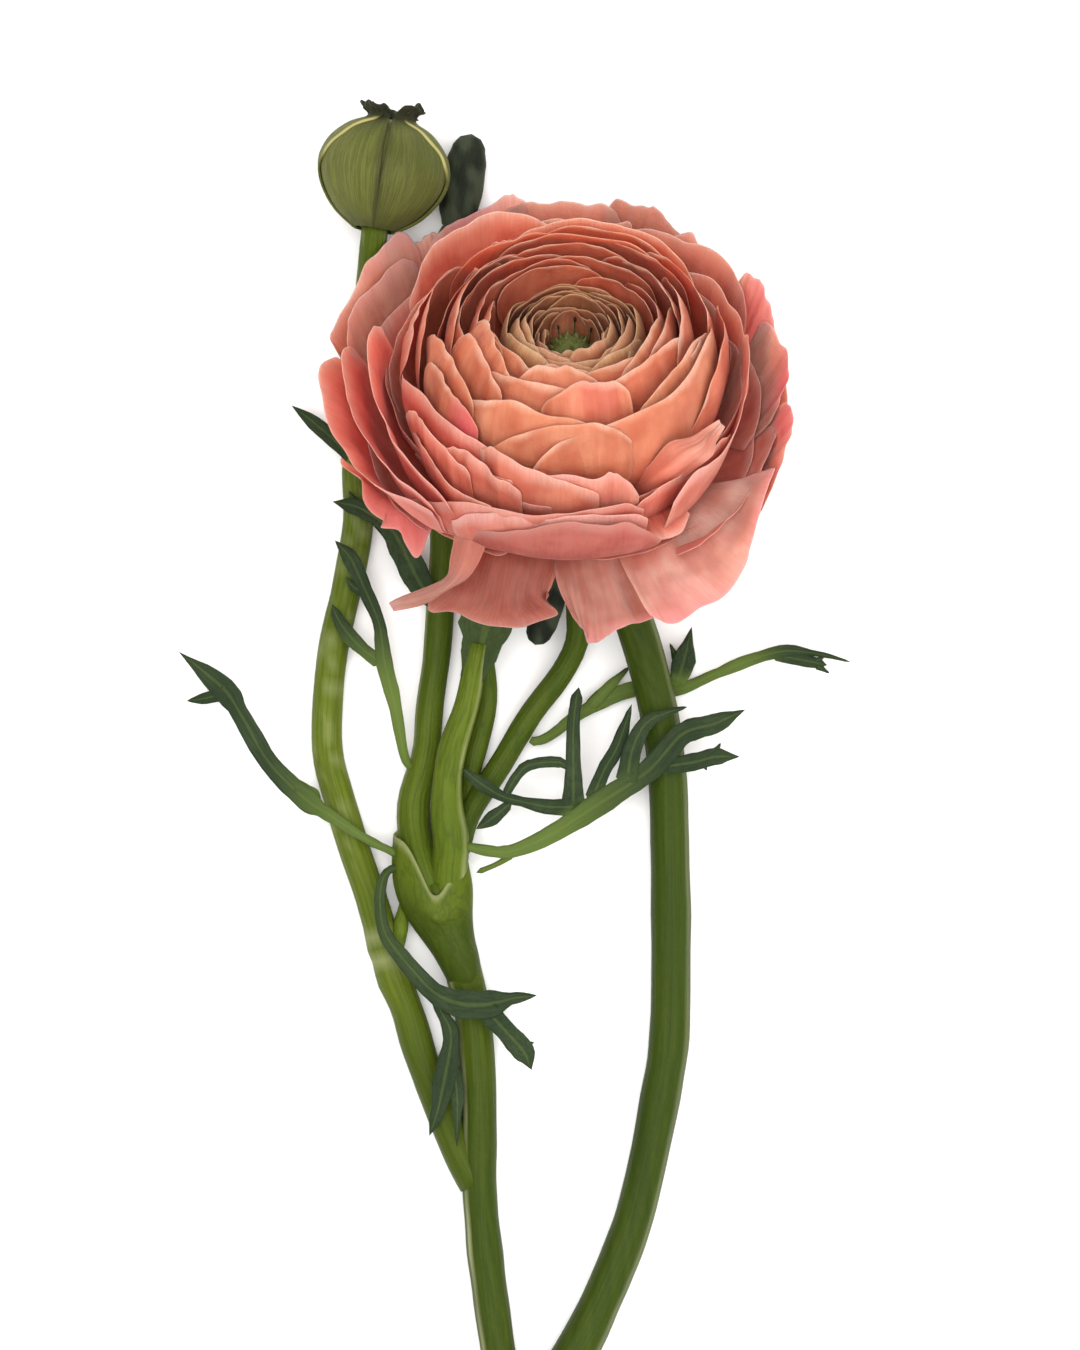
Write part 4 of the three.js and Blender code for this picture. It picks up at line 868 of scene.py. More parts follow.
        [(-16, 185, 49), (-14.6, 184.5, 51), (-12.5, 184.7, 49.5)],
        [(-20, 183.1, 48.5), (-17.8, 182.1, 50.5), (-15.8, 183, 48.5)],
        [(-24.1, 181.6, 46.5), (-22.7, 180.6, 48.5), (-19.7, 180.4, 46.5)],
        [(-26.1, 180.6, 44.5), (-25.7, 179.9, 45.5), (-25.4, 179.2, 44.5)]]},
    "pinkTips": {"node": 17, "tone": 0.1, "dusty": 0.5, "dim": 0.4, "blush": 0.4, "blushAt": (0.6, 1),
        "blushSize": 0.6, "flutes": 0.2, "net": [
        clawRow,
        [(-26, 201, 31), (-21, 199.5, 33), (-16.6, 198.4, 34), (-12.2, 197.4, 34)],
        [(-30.4, 202.6, 36), (-27, 198.6, 39), (-22.2, 196.5, 40), (-16.4, 196.2, 39)],
        [(-34.9, 206.2, 36), (-34.7, 204.3, 37), (-31.3, 202.3, 38.5), (-30.8, 198.6, 40), (-29.2, 196.3, 41),
         (-26.7, 194.7, 41.5), (-27.7, 193.7, 42), (-24.3, 193.5, 42), (-22.9, 190.7, 42.5), (-21.5, 188.4, 43),
         (-20.1, 190.2, 42.5), (-19.1, 193.3, 42), (-17.3, 194.5, 41.5), (-14.6, 194.9, 41)]]},
    "foldedTip": {"node": 3, "tone": 0.9, "dusty": 0.5, "flutes": 0.2, "net": [
        clawRow,
        [(14.2, 202.6, 42), (15.6, 200.5, 43.5), (16.6, 198.5, 42)],
        [(18.1, 203.6, 50), (20.1, 202.1, 52), (21.9, 200.2, 50)],
        [(21.8, 208, 53), (25.1, 205.7, 55), (27.6, 204.1, 53)],
        [(25.5, 208.6, 54), (27.6, 207.3, 56), (29.6, 206.1, 54)],
        [(27.9, 209.9, 53.5), (28.8, 209.1, 55), (29.6, 208.1, 53.5)],
        [(30.8, 211.8, 52.5), (31, 211.4, 53), (31.2, 210.9, 52.5)]]},
    "smallLip": {"node": 16, "tone": 0.5, "dusty": 0, "flutes": 0.1, "net": [
        clawRow,
        [(10.1, 198.7, 38), (13, 199, 39), (17.4, 199.3, 39)],
        [(11.8, 196.4, 42), (17.3, 197.4, 43.5), (22.9, 198.2, 41.5)],
        [(14.2, 193.8, 43), (16.9, 192, 44.5), (21.1, 191.5, 45), (24.5, 192.7, 44.5), (26, 196.2, 43)]]},
}
for azimuth, node in ((350, 3), (48, 6), (100, 2), (152, 4), (200, 1), (248, 5), (296, 7)):
    openPetals[f"lining{azimuth:03d}"] = {"node": node, "layers": (0.66, 0.68), "tone": 0.5,
                                          "rim": archedRim(azimuth, opened["width"], 0.74, 0.67)}
for azimuth, node, reach in ((20, 14, 0.7), (140, 13, 0.78), (195, 17, 0.7), (225, 9, 0.5), (340, 10, 0.62),
                             (305, 16, 0.5)):
    openPetals[f"backing{azimuth:03d}"] = {"node": node, "layers": (0.86, 0.88), "tone": 0.3, "dusty": 0.2,
                                           "rim": archedRim(azimuth, opened["width"], reach, 0.87)}
openPetals["ringMiddle"] = {
    "node": 11, "layers": (0.84, 0.79), "tone": 0.4, "dusty": 0.35, "frill": 0.025,
    "rim": [(238, 0.88), (244, 0.95), (252, 0.985), (262, 0.975), (271, 0.985), (280, 0.965), (288, 0.93),
            (294, 0.84)]}
for i, (name, look) in enumerate(openPetals.items()):
    makePetal("openPetal-" + name, f"open_petal_{look['node']:02d}", "outerSkin",
              {"seed": opened["seed"] + i, **look}, opened["netSize" if "net" in look else "size"])
print("stage: petals")


# The green eye: a dome of little carpels with dark stamens round it

def gather(name, pieces):  # one object out of many
    bpy.ops.object.select_all(action="DESELECT")
    for piece in pieces:
        piece.select_set(True)
    bpy.context.view_layer.objects.active = pieces[0]
    if len(pieces) > 1:
        bpy.ops.object.join()
    pieces[0].name = name
    pieces[0].data.name = name
    return pieces[0]


def plant(model, foot, direction, scale):  # a copy of model standing at foot, in the bloom's own axes
    selectOnly(model)
    bpy.ops.object.duplicate(linked=False)
    piece = bpy.context.object
    turn = Vector(direction).to_track_quat("Z", "Y").to_matrix()
    for vertex in piece.data.vertices:
        vertex.co = inFrame(inFlower(turn @ (vertex.co * scale) + Vector(foot)))
    return piece


eye = {"carpels": 60, "middle": Vector((bloom["lean"], 0, 24)), "radius": 4.0, "spread": 100, "pale": 0.25}
bpy.ops.object.select_all(action="DESELECT")
bpy.ops.mesh.primitive_cone_add(vertices=6, radius1=0.42, radius2=0.12, depth=1.6)
carpel = bpy.context.object
editAll(carpel, (bpy.ops.mesh.subdivide, {"number_cuts": 1, "smoothness": 0.5}))
carpels = []
for i in range(eye["carpels"]):
    polar = math.radians(mix(0, eye["spread"], math.sqrt((i + 0.5) / eye["carpels"])))
    angle = math.radians(i * bloom["goldenAngle"])
    out = Vector((math.sin(polar) * math.cos(angle), math.sin(polar) * math.sin(angle), math.cos(polar)))
    carpels.append(plant(carpel, eye["middle"] + out * eye["radius"], out + Vector((0, 0, 0.5)), 1.0))
bpy.ops.object.select_all(action="DESELECT")
bpy.ops.mesh.primitive_uv_sphere_add(segments=24, ring_count=16, radius=eye["radius"])
ballModel = bpy.context.object
dome = plant(ballModel, eye["middle"], (0, 0, 1), 1.0)
eyePiece = gather("greenEye", [dome] + carpels)
finishGreen(eyePiece, "eyeSkin", "flower_centre", "flower_centre",
            pale=lambda p: eye["pale"] * (0.5 + 0.5 * wave(p.x, p.y, 3)), dark=0.0)
for model in (ballModel, carpel):
    bpy.data.objects.remove(model)

stamenLook = {"count": 9, "length": 5, "thickness": 0.13, "head": 0.42, "headAt": 5.2, "headShape": (0.7, 0.5, 1.5),
              "reach": (3.6, 4.3), "foot": 21.4, "uneven": 2.4, "lean": 0.15, "sizes": (0.85, 1.1),
              "darkFrom": (25.6, 26.6)}
bpy.ops.object.select_all(action="DESELECT")
bpy.ops.mesh.primitive_cylinder_add(vertices=6, radius=stamenLook["thickness"], depth=stamenLook["length"],
                                    location=(0, 0, stamenLook["length"] / 2))
bpy.ops.object.transform_apply(location=True, rotation=False, scale=False)
filament = bpy.context.object
bpy.ops.mesh.primitive_uv_sphere_add(segments=8, ring_count=6, radius=stamenLook["head"],
                                     location=(0, 0, stamenLook["headAt"]))
bpy.context.object.scale = stamenLook["headShape"]
bpy.ops.object.transform_apply(location=True, rotation=False, scale=True)
stamen = gather("stamenModel", [filament, bpy.context.object])
stamens = []
for i in range(stamenLook["count"]):
    angle = math.radians(i * 360 / stamenLook["count"] + 6 * random.random())
    reach = mix(*stamenLook["reach"], random.random())
    foot = (bloom["lean"] + reach * math.cos(angle), reach * math.sin(angle),
            stamenLook["foot"] + stamenLook["uneven"] * random.random())
    direction = (stamenLook["lean"] * math.cos(angle), stamenLook["lean"] * math.sin(angle), 1)
    stamens.append(plant(stamen, foot, direction, mix(*stamenLook["sizes"], random.random())))
bpy.data.objects.remove(stamen)
stamenPiece = gather("stamens", stamens)
bloomBack = bloomTurn.transposed()
finishGreen(stamenPiece, "eyeSkin", "flower_centre", "flower_centre", pale=0.0,
            dark=lambda p: smooth(*stamenLook["darkFrom"], (bloomBack @ (p - bloom["place"])).z))
print("stage: eye")

# Five sepals bent back under the petals.
sepalLook = {"count": 5, "start": 18, "length": [(5.4, -0.9), (10, -2.6), (15, -3.6), (19.5, -5.4)], "width": 6.4,
             "thickness": 0.0005, "cup": 0.5, "waves": 0.3, "pale": 0.15}
for i in range(sepalLook["count"]):
    middle = math.radians(sepalLook["start"] + i * 360 / sepalLook["count"])

    def sepalPoint(s, t):
        r, w = bezier(sepalLook["length"], t)
        spread = sepalLook["width"] * math.sin(math.pi * mix(0.16, 0.93, t))
        angle = middle + s * spread / max(r, 6)
        lift = sepalLook["cup"] * s * s - sepalLook["waves"] * wave(s * 2, t * 2, 40 + i)
        return inFlower(Vector((r * math.cos(angle), r * math.sin(angle), w + lift)))

    sepal = copyBlank(f"bloomSepal{i + 1}", 10, 12)
    layOut(sepal, sepalPoint)
    thicken(sepal, sepalLook["thickness"])
    finishGreen(sepal, "budSkin", "bloom_sepals", f"bloom_sepal_{i + 1}", pale=sepalLook["pale"], dark=0.0)
print("stage: sepals")


# Stems.

def evenShares(points, rows):  # shares that cut the line into equal lengths, and the line's length
    steps = 400
    fine = [throughPoints(points, i / steps) for i in range(steps + 1)]
    run = [0.0]
    for a, b in zip(fine, fine[1:]):
        run.append(run[-1] + (b.xyz - a.xyz).length)
    shares, i = [], 0
    for row in range(rows + 1):
        goal = run[-1] * row / rows
        while i < steps - 1 and run[i + 1] < goal:
            i += 1
        shares.append((i + clamp((goal - run[i]) / max(run[i + 1] - run[i], 1e-9))) / steps)
    return shares, run[-1]


def stemAxes(forward):
    side = forward.cross(Vector((0, 0, 1))).normalized()
    return side, side.cross(forward)


# the pale line along one edge of a stem, given as place round it and strength, is painted sheen
plainStem = {"sides": 20, "ring": 2.2, "rings": 12, "capShare": (0.6, 0.6), "capDepth": (0, 0), "ridge": (0.5, 0.0),
             "pale": lambda p: 0.0, "dark": 0.0}


def makeStem(name, look, seed):  # rings along the path, with two extra rings that close each end
    look = {**plainStem, **look}
    points = look["path"]
    rows = max(look["rings"], round(evenShares(points, 10)[1] / look["ring"]))
    centres = [throughPoints(points, x) for x in evenShares(points, rows)[0]]
    tangents = [(centres[min(i + 1, rows)] - centres[max(i - 1, 0)]).normalized() for i in range(rows + 1)]

    def place(s, t):
        row = round(t * (rows + 4)) - 2
        n = int(clamp(row, 0, rows))
        forward = tangents[n]
        side, up = stemAxes(forward)
        turn = math.pi * s
        radius = along(look["widths"], n / rows)
        radius *= 1 + 0.018 * math.cos(5 * turn + 0.9 * seed) + 0.02 * wave(n * 0.12, math.cos(turn), seed)
        radius *= 1 + 0.03 * wave(n * 0.35, 0.4, seed + 5)
        end = 0 if row < 0 else 1
        if row in (-1, rows + 1):
            radius *= look["capShare"][end]
        if row in (-2, rows + 2):
            radius = 0
        depth = look["capDepth"][end] if row != n else 0
        return aboveFloor(centres[n] + (side * math.cos(turn) + up * math.sin(turn)) * radius + forward * depth, 0.2)

    piece = copyBlank(name, look["sides"], rows + 4)
    layOut(piece, place)
    faceOut(piece)
    sheenAround, strength = look["ridge"]

    def paleAt(u, v, i):  # a pale line along one edge of the stem, painted sheen where its down catches the light, and what is pale round it
        line = 1 - smooth(0.0, 0.05, abs((u - sheenAround + 0.5) % 1 - 0.5))
        return max(look["pale"](inDrawing(piece.data.vertices[i].co)),
                   strength * line * (0.7 + 0.5 * wave(v * 9, 0, seed)))

    addCornerMask(piece, "pale", paleAt)
    skin, slot = ("stemSkin", "stems") if name.endswith("Stem") else ("shootSkin", "shoots")
    finishGreen(piece, skin, slot, nodeName(name), dark=look["dark"])


def ringMark(p, y):  # a pale scar round a stem
    return math.exp(-((p.y - y) / 1.2) ** 2)


stems = {
    "bloomStem": {
        "path": [
            (-3.6, 0, 4.3), (-3.8, 13.5, 4.2), (-2.5, 24.3, 4.1), (1.8, 36.9, 4), (9.4, 51.4, 3.8), (15.6, 65.9, 3.7),
            (18.7, 76.7, 3.6), (22.1, 93.6, 3.6), (23.4, 103.2, 3.6), (23.7, 118, 3.6), (23.4, 140.1, 3.8),
            (22.9, 151, 4.8), (21.1, 162.8, 6.3), (17.3, 176.7, 7.9), (12.6, 187.5, 9.6), (7.6, 196.8, 11.6),
            (4.4, 202, 14.6), (4, 204.4, 16.9)],
        "widths": [(0, 4.2), (0.12, 4.2), (0.3, 3.6), (0.94, 3.55), (1, 3.9)], "sides": 24,
        "capShare": (0.55, 0.6), "capDepth": (0.4, 0), "ridge": (0.57, 0.35),
        "pale": lambda p: (0.3 + 0.4 * smooth(0.15, 0.4, p.y)) * (1 - smooth(0.6, 1.4, p.y)),  # the cut
        "dark": lambda p: 0.85 - 0.15 * smooth(60, 10, p.y) + 0.1 * wave(p.y * 0.03, p.x, 2)},
    "branchStem": {
        "path": [
            (-2.8, 27, 4.4), (-5.4, 33.5, 4.2), (-7.6, 46, 4), (-9.8, 62.3, 3.8), (-10.9, 75, 3.7), (-11, 82.5, 3.6),
            (-11.2, 95.6, 3.5), (-12.3, 107.2, 3.5), (-14, 115, 3.7), (-15.6, 120, 4), (-17.2, 126, 4.6),
            (-18.6, 131, 5.2)],
        "widths": [(0, 3.4), (0.1, 3.2), (0.75, 3.2), (0.9, 3.5), (1, 3.6)], "ridge": (0.9, 0.6),
        "dark": lambda p: 0.8 - 0.3 * smooth(85, 105, p.y) + 0.1 * wave(p.y * 0.05, p.x, 4)},
    "budStem": {
        "path": [
            (-11.6, 76, 3.6), (-15.2, 83, 3.1), (-18.6, 91.5, 3), (-21.6, 99.3, 3), (-23.9, 107.1, 3.1),
            (-26.8, 114.7, 3.2), (-30.4, 127.4, 3), (-33.5, 136.3, 2.9), (-36.2, 145.2, 2.8), (-38.4, 153.9, 2.8),
            (-38.4, 163.7, 2.8), (-37.3, 173.6, 2.8), (-34.8, 184.7, 2.8), (-32.9, 196, 2.8), (-33.1, 206, 2.8),
            (-32.6, 222, 3.2), (-31.2, 234.5, 5.4), (-30.3, 243, 9.6), (-29.5, 249.3, 11.8)],
        "widths": [(0, 3), (0.2, 2.95), (0.225, 3.25), (0.24, 3), (0.255, 3.3), (0.28, 2.85), (0.7, 2.75), (1, 2.4)],
        # two pale scars, and above them cross ripples of light painted in as pale colour: painted highlight
        "pale": lambda p: (0.4 * ringMark(p, 116.5) + 0.4 * ringMark(p, 121)
                           + 0.2 * smooth(0.0, 0.8, wave(p.y * 1.3, p.x * 0.4, 6)) * smooth(125, 145, p.y)),
        "dark": lambda p: 0.55 - 0.5 * smooth(96, 118, p.y) + 0.35 * smooth(170, 200, p.y)},
    "leftShoot": {
        "path": [
            (-16.6, 119.5, 4.3), (-19.2, 127, 4.8), (-21.2, 133, 4.8), (-22.4, 138, 3.7), (-22.8, 145.2, 2.7),
            (-20.7, 153.9, 2.5), (-19.9, 162.7, 2.5), (-18.7, 171.4, 2.5), (-18.1, 180.3, 2.5), (-17.4, 192.7, 2.5),
            (-18, 203.5, 2.5), (-19.4, 218, 2.4), (-19.8, 230.7, 2.4), (-18.6, 243.1, 2.6), (-16, 248.6, 3.4)],
        "widths": [(0, 2.6), (0.1, 3.5), (0.17, 3.1), (0.3, 2.5), (0.7, 2.5), (1, 2)], "ridge": (0.95, 0.5),
        "dark": lambda p: 0.3 + 0.3 * smooth(150, 175, p.y)},
    "rightShoot": {
        "path": [
            (-14.8, 117.5, 3.6), (-15.8, 124, 4.2), (-16.6, 131, 5.5), (-16, 138, 7.6), (-16.8, 145.3, 8.4),
            (-16, 153.9, 8.3), (-13.2, 162.8, 8.2), (-12, 169, 8.6), (-11.2, 174, 9.2)],
        "widths": [(0, 2.4), (0.18, 3.6), (0.35, 3.3), (0.6, 2.6), (1, 1.9)], "ridge": (0.6, 0.6), "dark": 0.2},
    "crossShoot": {
        "path": [
            (-14.6, 136.5, 5.6), (-12.6, 143.5, 4), (-7.2, 151.9, 3.2), (-1.8, 160.9, 3), (3.6, 168, 3.2),
            (6.6, 174, 4), (6.6, 180, 5.6), (5.6, 185, 7.8), (3.8, 187.6, 9.6)],
        "widths": [(0, 2), (0.2, 2.2), (0.8, 2.1), (1, 1.2)], "dark": 0.6},
    "backShoot": {
        "path": [
            (-13.4, 143.6, 3.6), (-12.3, 151.7, 2.4), (-9.6, 162.7, 2.3), (-9.8, 170.2, 2.5), (-10.5, 178, 3),
            (-11.6, 183.5, 3.6)],
        "widths": [(0, 1.5), (0.3, 1.9), (0.6, 1.6), (1, 0.5)], "dark": 0.5},
    "nodeShoot": {
        "path": [(-27, 116.5, 4.2), (-25.6, 121, 4.4), (-24.9, 125.5, 4.2), (-24.8, 128.5, 3.8)],
        "widths": [(0, 1.6), (0.5, 1.4), (1, 0.5)]},
}
for seed, (name, look) in enumerate(stems.items(), 1):
    makeStem(name, look, seed)

# The receptacle that the petals grow from, as rings [radius, 0, height] in the bloom.
headRings = [(0, 0, -4), (3.4, 0, -4), (4.7, 0, -0.8), (4.5, 0, 1.2), (2.4, 0, 8), (1.5, 0, 11.2), (0, 0, 11.4)]


def headPoint(s, t):
    ring = throughPoints(headRings, t)
    return inFlower(Vector((ring.x * math.cos(math.pi * s), ring.x * math.sin(math.pi * s), ring.z)))


head = copyBlank("stemHead", 20, 18)
layOut(head, headPoint)
faceOut(head)
finishGreen(head, "stemSkin", "stems", "bloom_stem", pale=0.1, dark=0.0)

# The sheath that the shoots leave from: a thin wall wrapped round their feet, notched at the front.
sheath = {  # rings are [x, y, z] of the middle and then half the width and half the depth
    "rings": [(-13.3, 112, 3.7, 2.6, 2.6), (-15, 117, 3.9, 3.6, 3.55), (-16.6, 120.5, 4.2, 4.4, 3.8),
              (-18.2, 124.5, 4.5, 5.6, 4.1), (-19.2, 128.5, 5, 6.5, 4.5), (-19.6, 133, 5.4, 6.9, 4.7),
              (-19.8, 138, 5.8, 6.6, 4.5)],
    "thickness": 0.00045, "overlap": 1.03, "notches": (80, -280), "notchWidth": 38, "notchDepth": 9,
    "edge": 0.4, "foot": 0.75, "fade": 0.5}


def sheathPoint(s, t):
    middle = throughPoints([ring[:3] for ring in sheath["rings"]], t)
    half = throughPoints([(ring[3], ring[4], 0) for ring in sheath["rings"]], t)
    turn = math.pi * s * sheath["overlap"] - math.pi / 2
    front = sum(math.exp(-((abs(math.degrees(turn) - notch) / sheath["notchWidth"]) ** 2))
                for notch in sheath["notches"])
    dip = smooth(0.35, 1, t) * (0.9 * wave(turn, 0, 9) - sheath["notchDepth"] * front + 2 * math.cos(turn + 2.6))
    pinch = (1 - 0.2 * front * smooth(0.3, 1, t) - 0.06 * smooth(0.7, 1, t)
             + 0.05 * wave(turn * 1.4, t * 2, 14) * smooth(0, 0.4, t))
    return aboveFloor(Vector((middle.x + half.x * math.cos(turn) * pinch, middle.y + dip,
                              middle.z + half.y * math.sin(turn) * pinch)), 0.4)


sheathPiece = copyBlank("nodeSheath", 44, 20)
layOut(sheathPiece, sheathPoint)
thicken(sheathPiece, sheath["thickness"], offset=-1.0)
addCornerMask(sheathPiece, "pale", lambda u, v, i: sheath["edge"] * smooth(0.93, 0.99, v))
addCornerMask(sheathPiece, "dark", lambda u, v, i: sheath["foot"] - sheath["fade"] * smooth(0.4, 0.9, v))
finishGreen(sheathPiece, "stemSkin", "stems", "branch_stem")
print("stage: stems")


# Buds.

budLook = {"place": Vector((-28, 258.9, 11.9)), "lean": 9, "thickness": 0.0005}
budTurn = Matrix.Rotation(-math.radians(budLook["lean"]), 3, "Z") @ Matrix.Rotation(-math.pi / 2, 3, "X")


def inBud(point):
    return budTurn @ point + budLook["place"]


bodyRings = [(0, 0, -10.2), (3.4, 0, -9.8), (7, 0, -7.2), (9.8, 0, -3.2), (10.6, 0, 0.4), (9.2, 0, 4), (6.3, 0, 6.8),
             (3, 0, 8.6), (0, 0, 9)]


def budBodyPoint(s, t):
    ring = throughPoints(bodyRings, t)
    turn = math.pi * s
    radius = ring.x * (1 + 0.01 * math.cos(5 * turn))
    return inBud(Vector((radius * math.cos(turn), radius * math.sin(turn), ring.z)))


budBody = copyBlank("budBody", 40, 24)
layOut(budBody, budBodyPoint)
faceOut(budBody)
finishGreen(budBody, "budSkin", "bud", "bud_body", pale=0.1, dark=0.3)

sepalRings = [(3.2, 0, -10.8), (7.4, 0, -7.9), (10.4, 0, -3.8), (11.3, 0, 0.2), (10.1, 0, 4), (7.3, 0, 7),
              (4.3, 0, 8.5), (4.3, 0, 9.9), (5.6, 0, 10.9)]
budSepals = {  # the edges run over the bud as [share of the length, azimuth]
    "budSepalFrontLeft": {"first": [(0, 186), (1, 196)], "last": [(0, 271), (1, 266)], "seamSide": "last"},
    "budSepalFrontRight": {"first": [(0, 269), (1, 274)], "last": [(0, 354), (1, 345)], "seamSide": "first",
                           "dark": 0.2},
    "budSepalBack": {"first": [(0, 50), (1, 50)], "last": [(0, 130), (1, 130)]},
    "budSepalLeft": {"first": [(0, 128), (1, 130)], "seamSide": "last", "isOver": True,
                     "last": [(0, 184), (0.3, 190), (0.42, 206), (0.55, 222), (0.7, 240), (0.8, 250), (1, 244)]},
    "budSepalRight": {"last": [(0, 412), (1, 410)], "seamSide": "first", "isOver": True, "dark": 0.1,
                      "first": [(0, 356), (0.32, 350), (0.45, 336), (0.58, 318), (0.7, 304), (0.8, 298), (1, 300)]},
}


def makeBudSepal(name, look, seed):
    isOver = look.get("isOver", False)  # the two side sepals lie over the front ones, with a cream edge
    scale = 1.035 if isOver else 1.0

    def place(s, t):
        ring = throughPoints(sepalRings, t)
        tip = smooth(0.78, 1, t)
        angle = math.radians(mix(along(look["first"], t), along(look["last"], t), (s + 1) / 2))
        radius = ring.x + tip * (1.3 * wave(s * 2.2, t * 4, seed) + 0.5 * wave(s * 6, t * 6, seed + 4))
        height = ring.z + tip * (0.9 * wave(s * 2, t * 2, seed + 3) + 0.4)
        lift = 0.22 * wave(s * 2, t * 3, seed + 7) * (1 - tip)
        height -= 1.1 * tip * abs(s) ** 3
        return inBud(Vector(((radius + lift) * math.cos(angle), (radius + lift) * math.sin(angle), height)) * scale)

    def toSeam(u):
        return {"last": u, "first": 1 - u}.get(look.get("seamSide"), 0)

    def paleAt(u, v, i):
        cream = 0.9 if isOver else 0.0
        return cream * smooth(0.93, 0.975, toSeam(u)) * smooth(0.34, 0.45, v) * (1 - smooth(0.68, 0.76, v))

    def darkAt(u, v, i):
        top = 0.45 * smooth(0.62, 0.75, v) if isOver else 0.55 * smooth(0.5, 0.72, v)
        seam = 0.0 if isOver else 0.55 * (smooth(0.88, 0.99, toSeam(u)) * (1 - smooth(0.7, 0.85, v)))
        return max(look.get("dark", 0.0), top, 0.95 * smooth(0.68, 0.79, v), seam, 0.35 * (1 - smooth(0, 0.12, v)))

    piece = copyBlank(name, 22, 30)
    layOut(piece, place)
    thicken(piece, budLook["thickness"])
    addCornerMask(piece, "pale", paleAt)
    addCornerMask(piece, "dark", darkAt)
    finishGreen(piece, "budSkin", "bud", nodeName(name))


for seed, (name, look) in enumerate(budSepals.items(), 60):
    makeBudSepal(name, look, seed)

closedBuds = {  # flatness squeezes them, and fold is the depth of the crease at the angle foldAt
    "smallBud": {"base": (-15.6, 248.0, 3.6), "tip": (-12.4, 266.2, 3.9), "radius": 3.8, "flatness": 0.9,
                 "fold": 0.16, "foldAt": 1.2},
    "noddingBud": {"base": (3.4, 187.4, 9.9), "tip": (-0.9, 173.6, 8.4), "radius": 2.9, "flatness": 1.0,
                   "fold": 0.1, "foldAt": 0.8},
}
closedOutline = [(0, 0.0), (0.03, 0.4), (0.1, 0.7), (0.25, 0.92), (0.45, 1), (0.7, 0.97), (0.88, 0.78), (0.96, 0.5),
                 (1, 0)]


def makeClosedBud(name, look):
    base, tip = Vector(look["base"]), Vector(look["tip"])
    axis = (tip - base).normalized()
    side, up = stemAxes(axis)
    length = (tip - base).length

    def place(s, t):
        turn = math.pi * s
        radius = look["radius"] * along(closedOutline, t)
        fold = 1 - look["fold"] * math.exp(-((math.cos(turn / 2 - look["foldAt"])) / 0.16) ** 2) * smooth(0, 0.3, t)
        fold += 0.03 * wave(3 * math.cos(turn), 3 * t, 71)
        return (base + axis * length * t + side * radius * fold * math.cos(turn)
                + up * radius * fold * look["flatness"] * math.sin(turn))

    piece = copyBlank(name, 32, 24)
    layOut(piece, place)
    faceOut(piece)
    finishGreen(piece, "darkBudSkin", "dark_buds", nodeName(name),
                pale=lambda p: 0.35 * smooth(0.3, 0.7, 0.5 + 0.5 * wave(p.x * 0.4, p.y * 0.25, 5)), dark=0.0)


for name, look in closedBuds.items():
    makeClosedBud(name, look)
print("stage: buds")


# Leaves. Each is a row of tapering fingers, [x, y, z, half width].

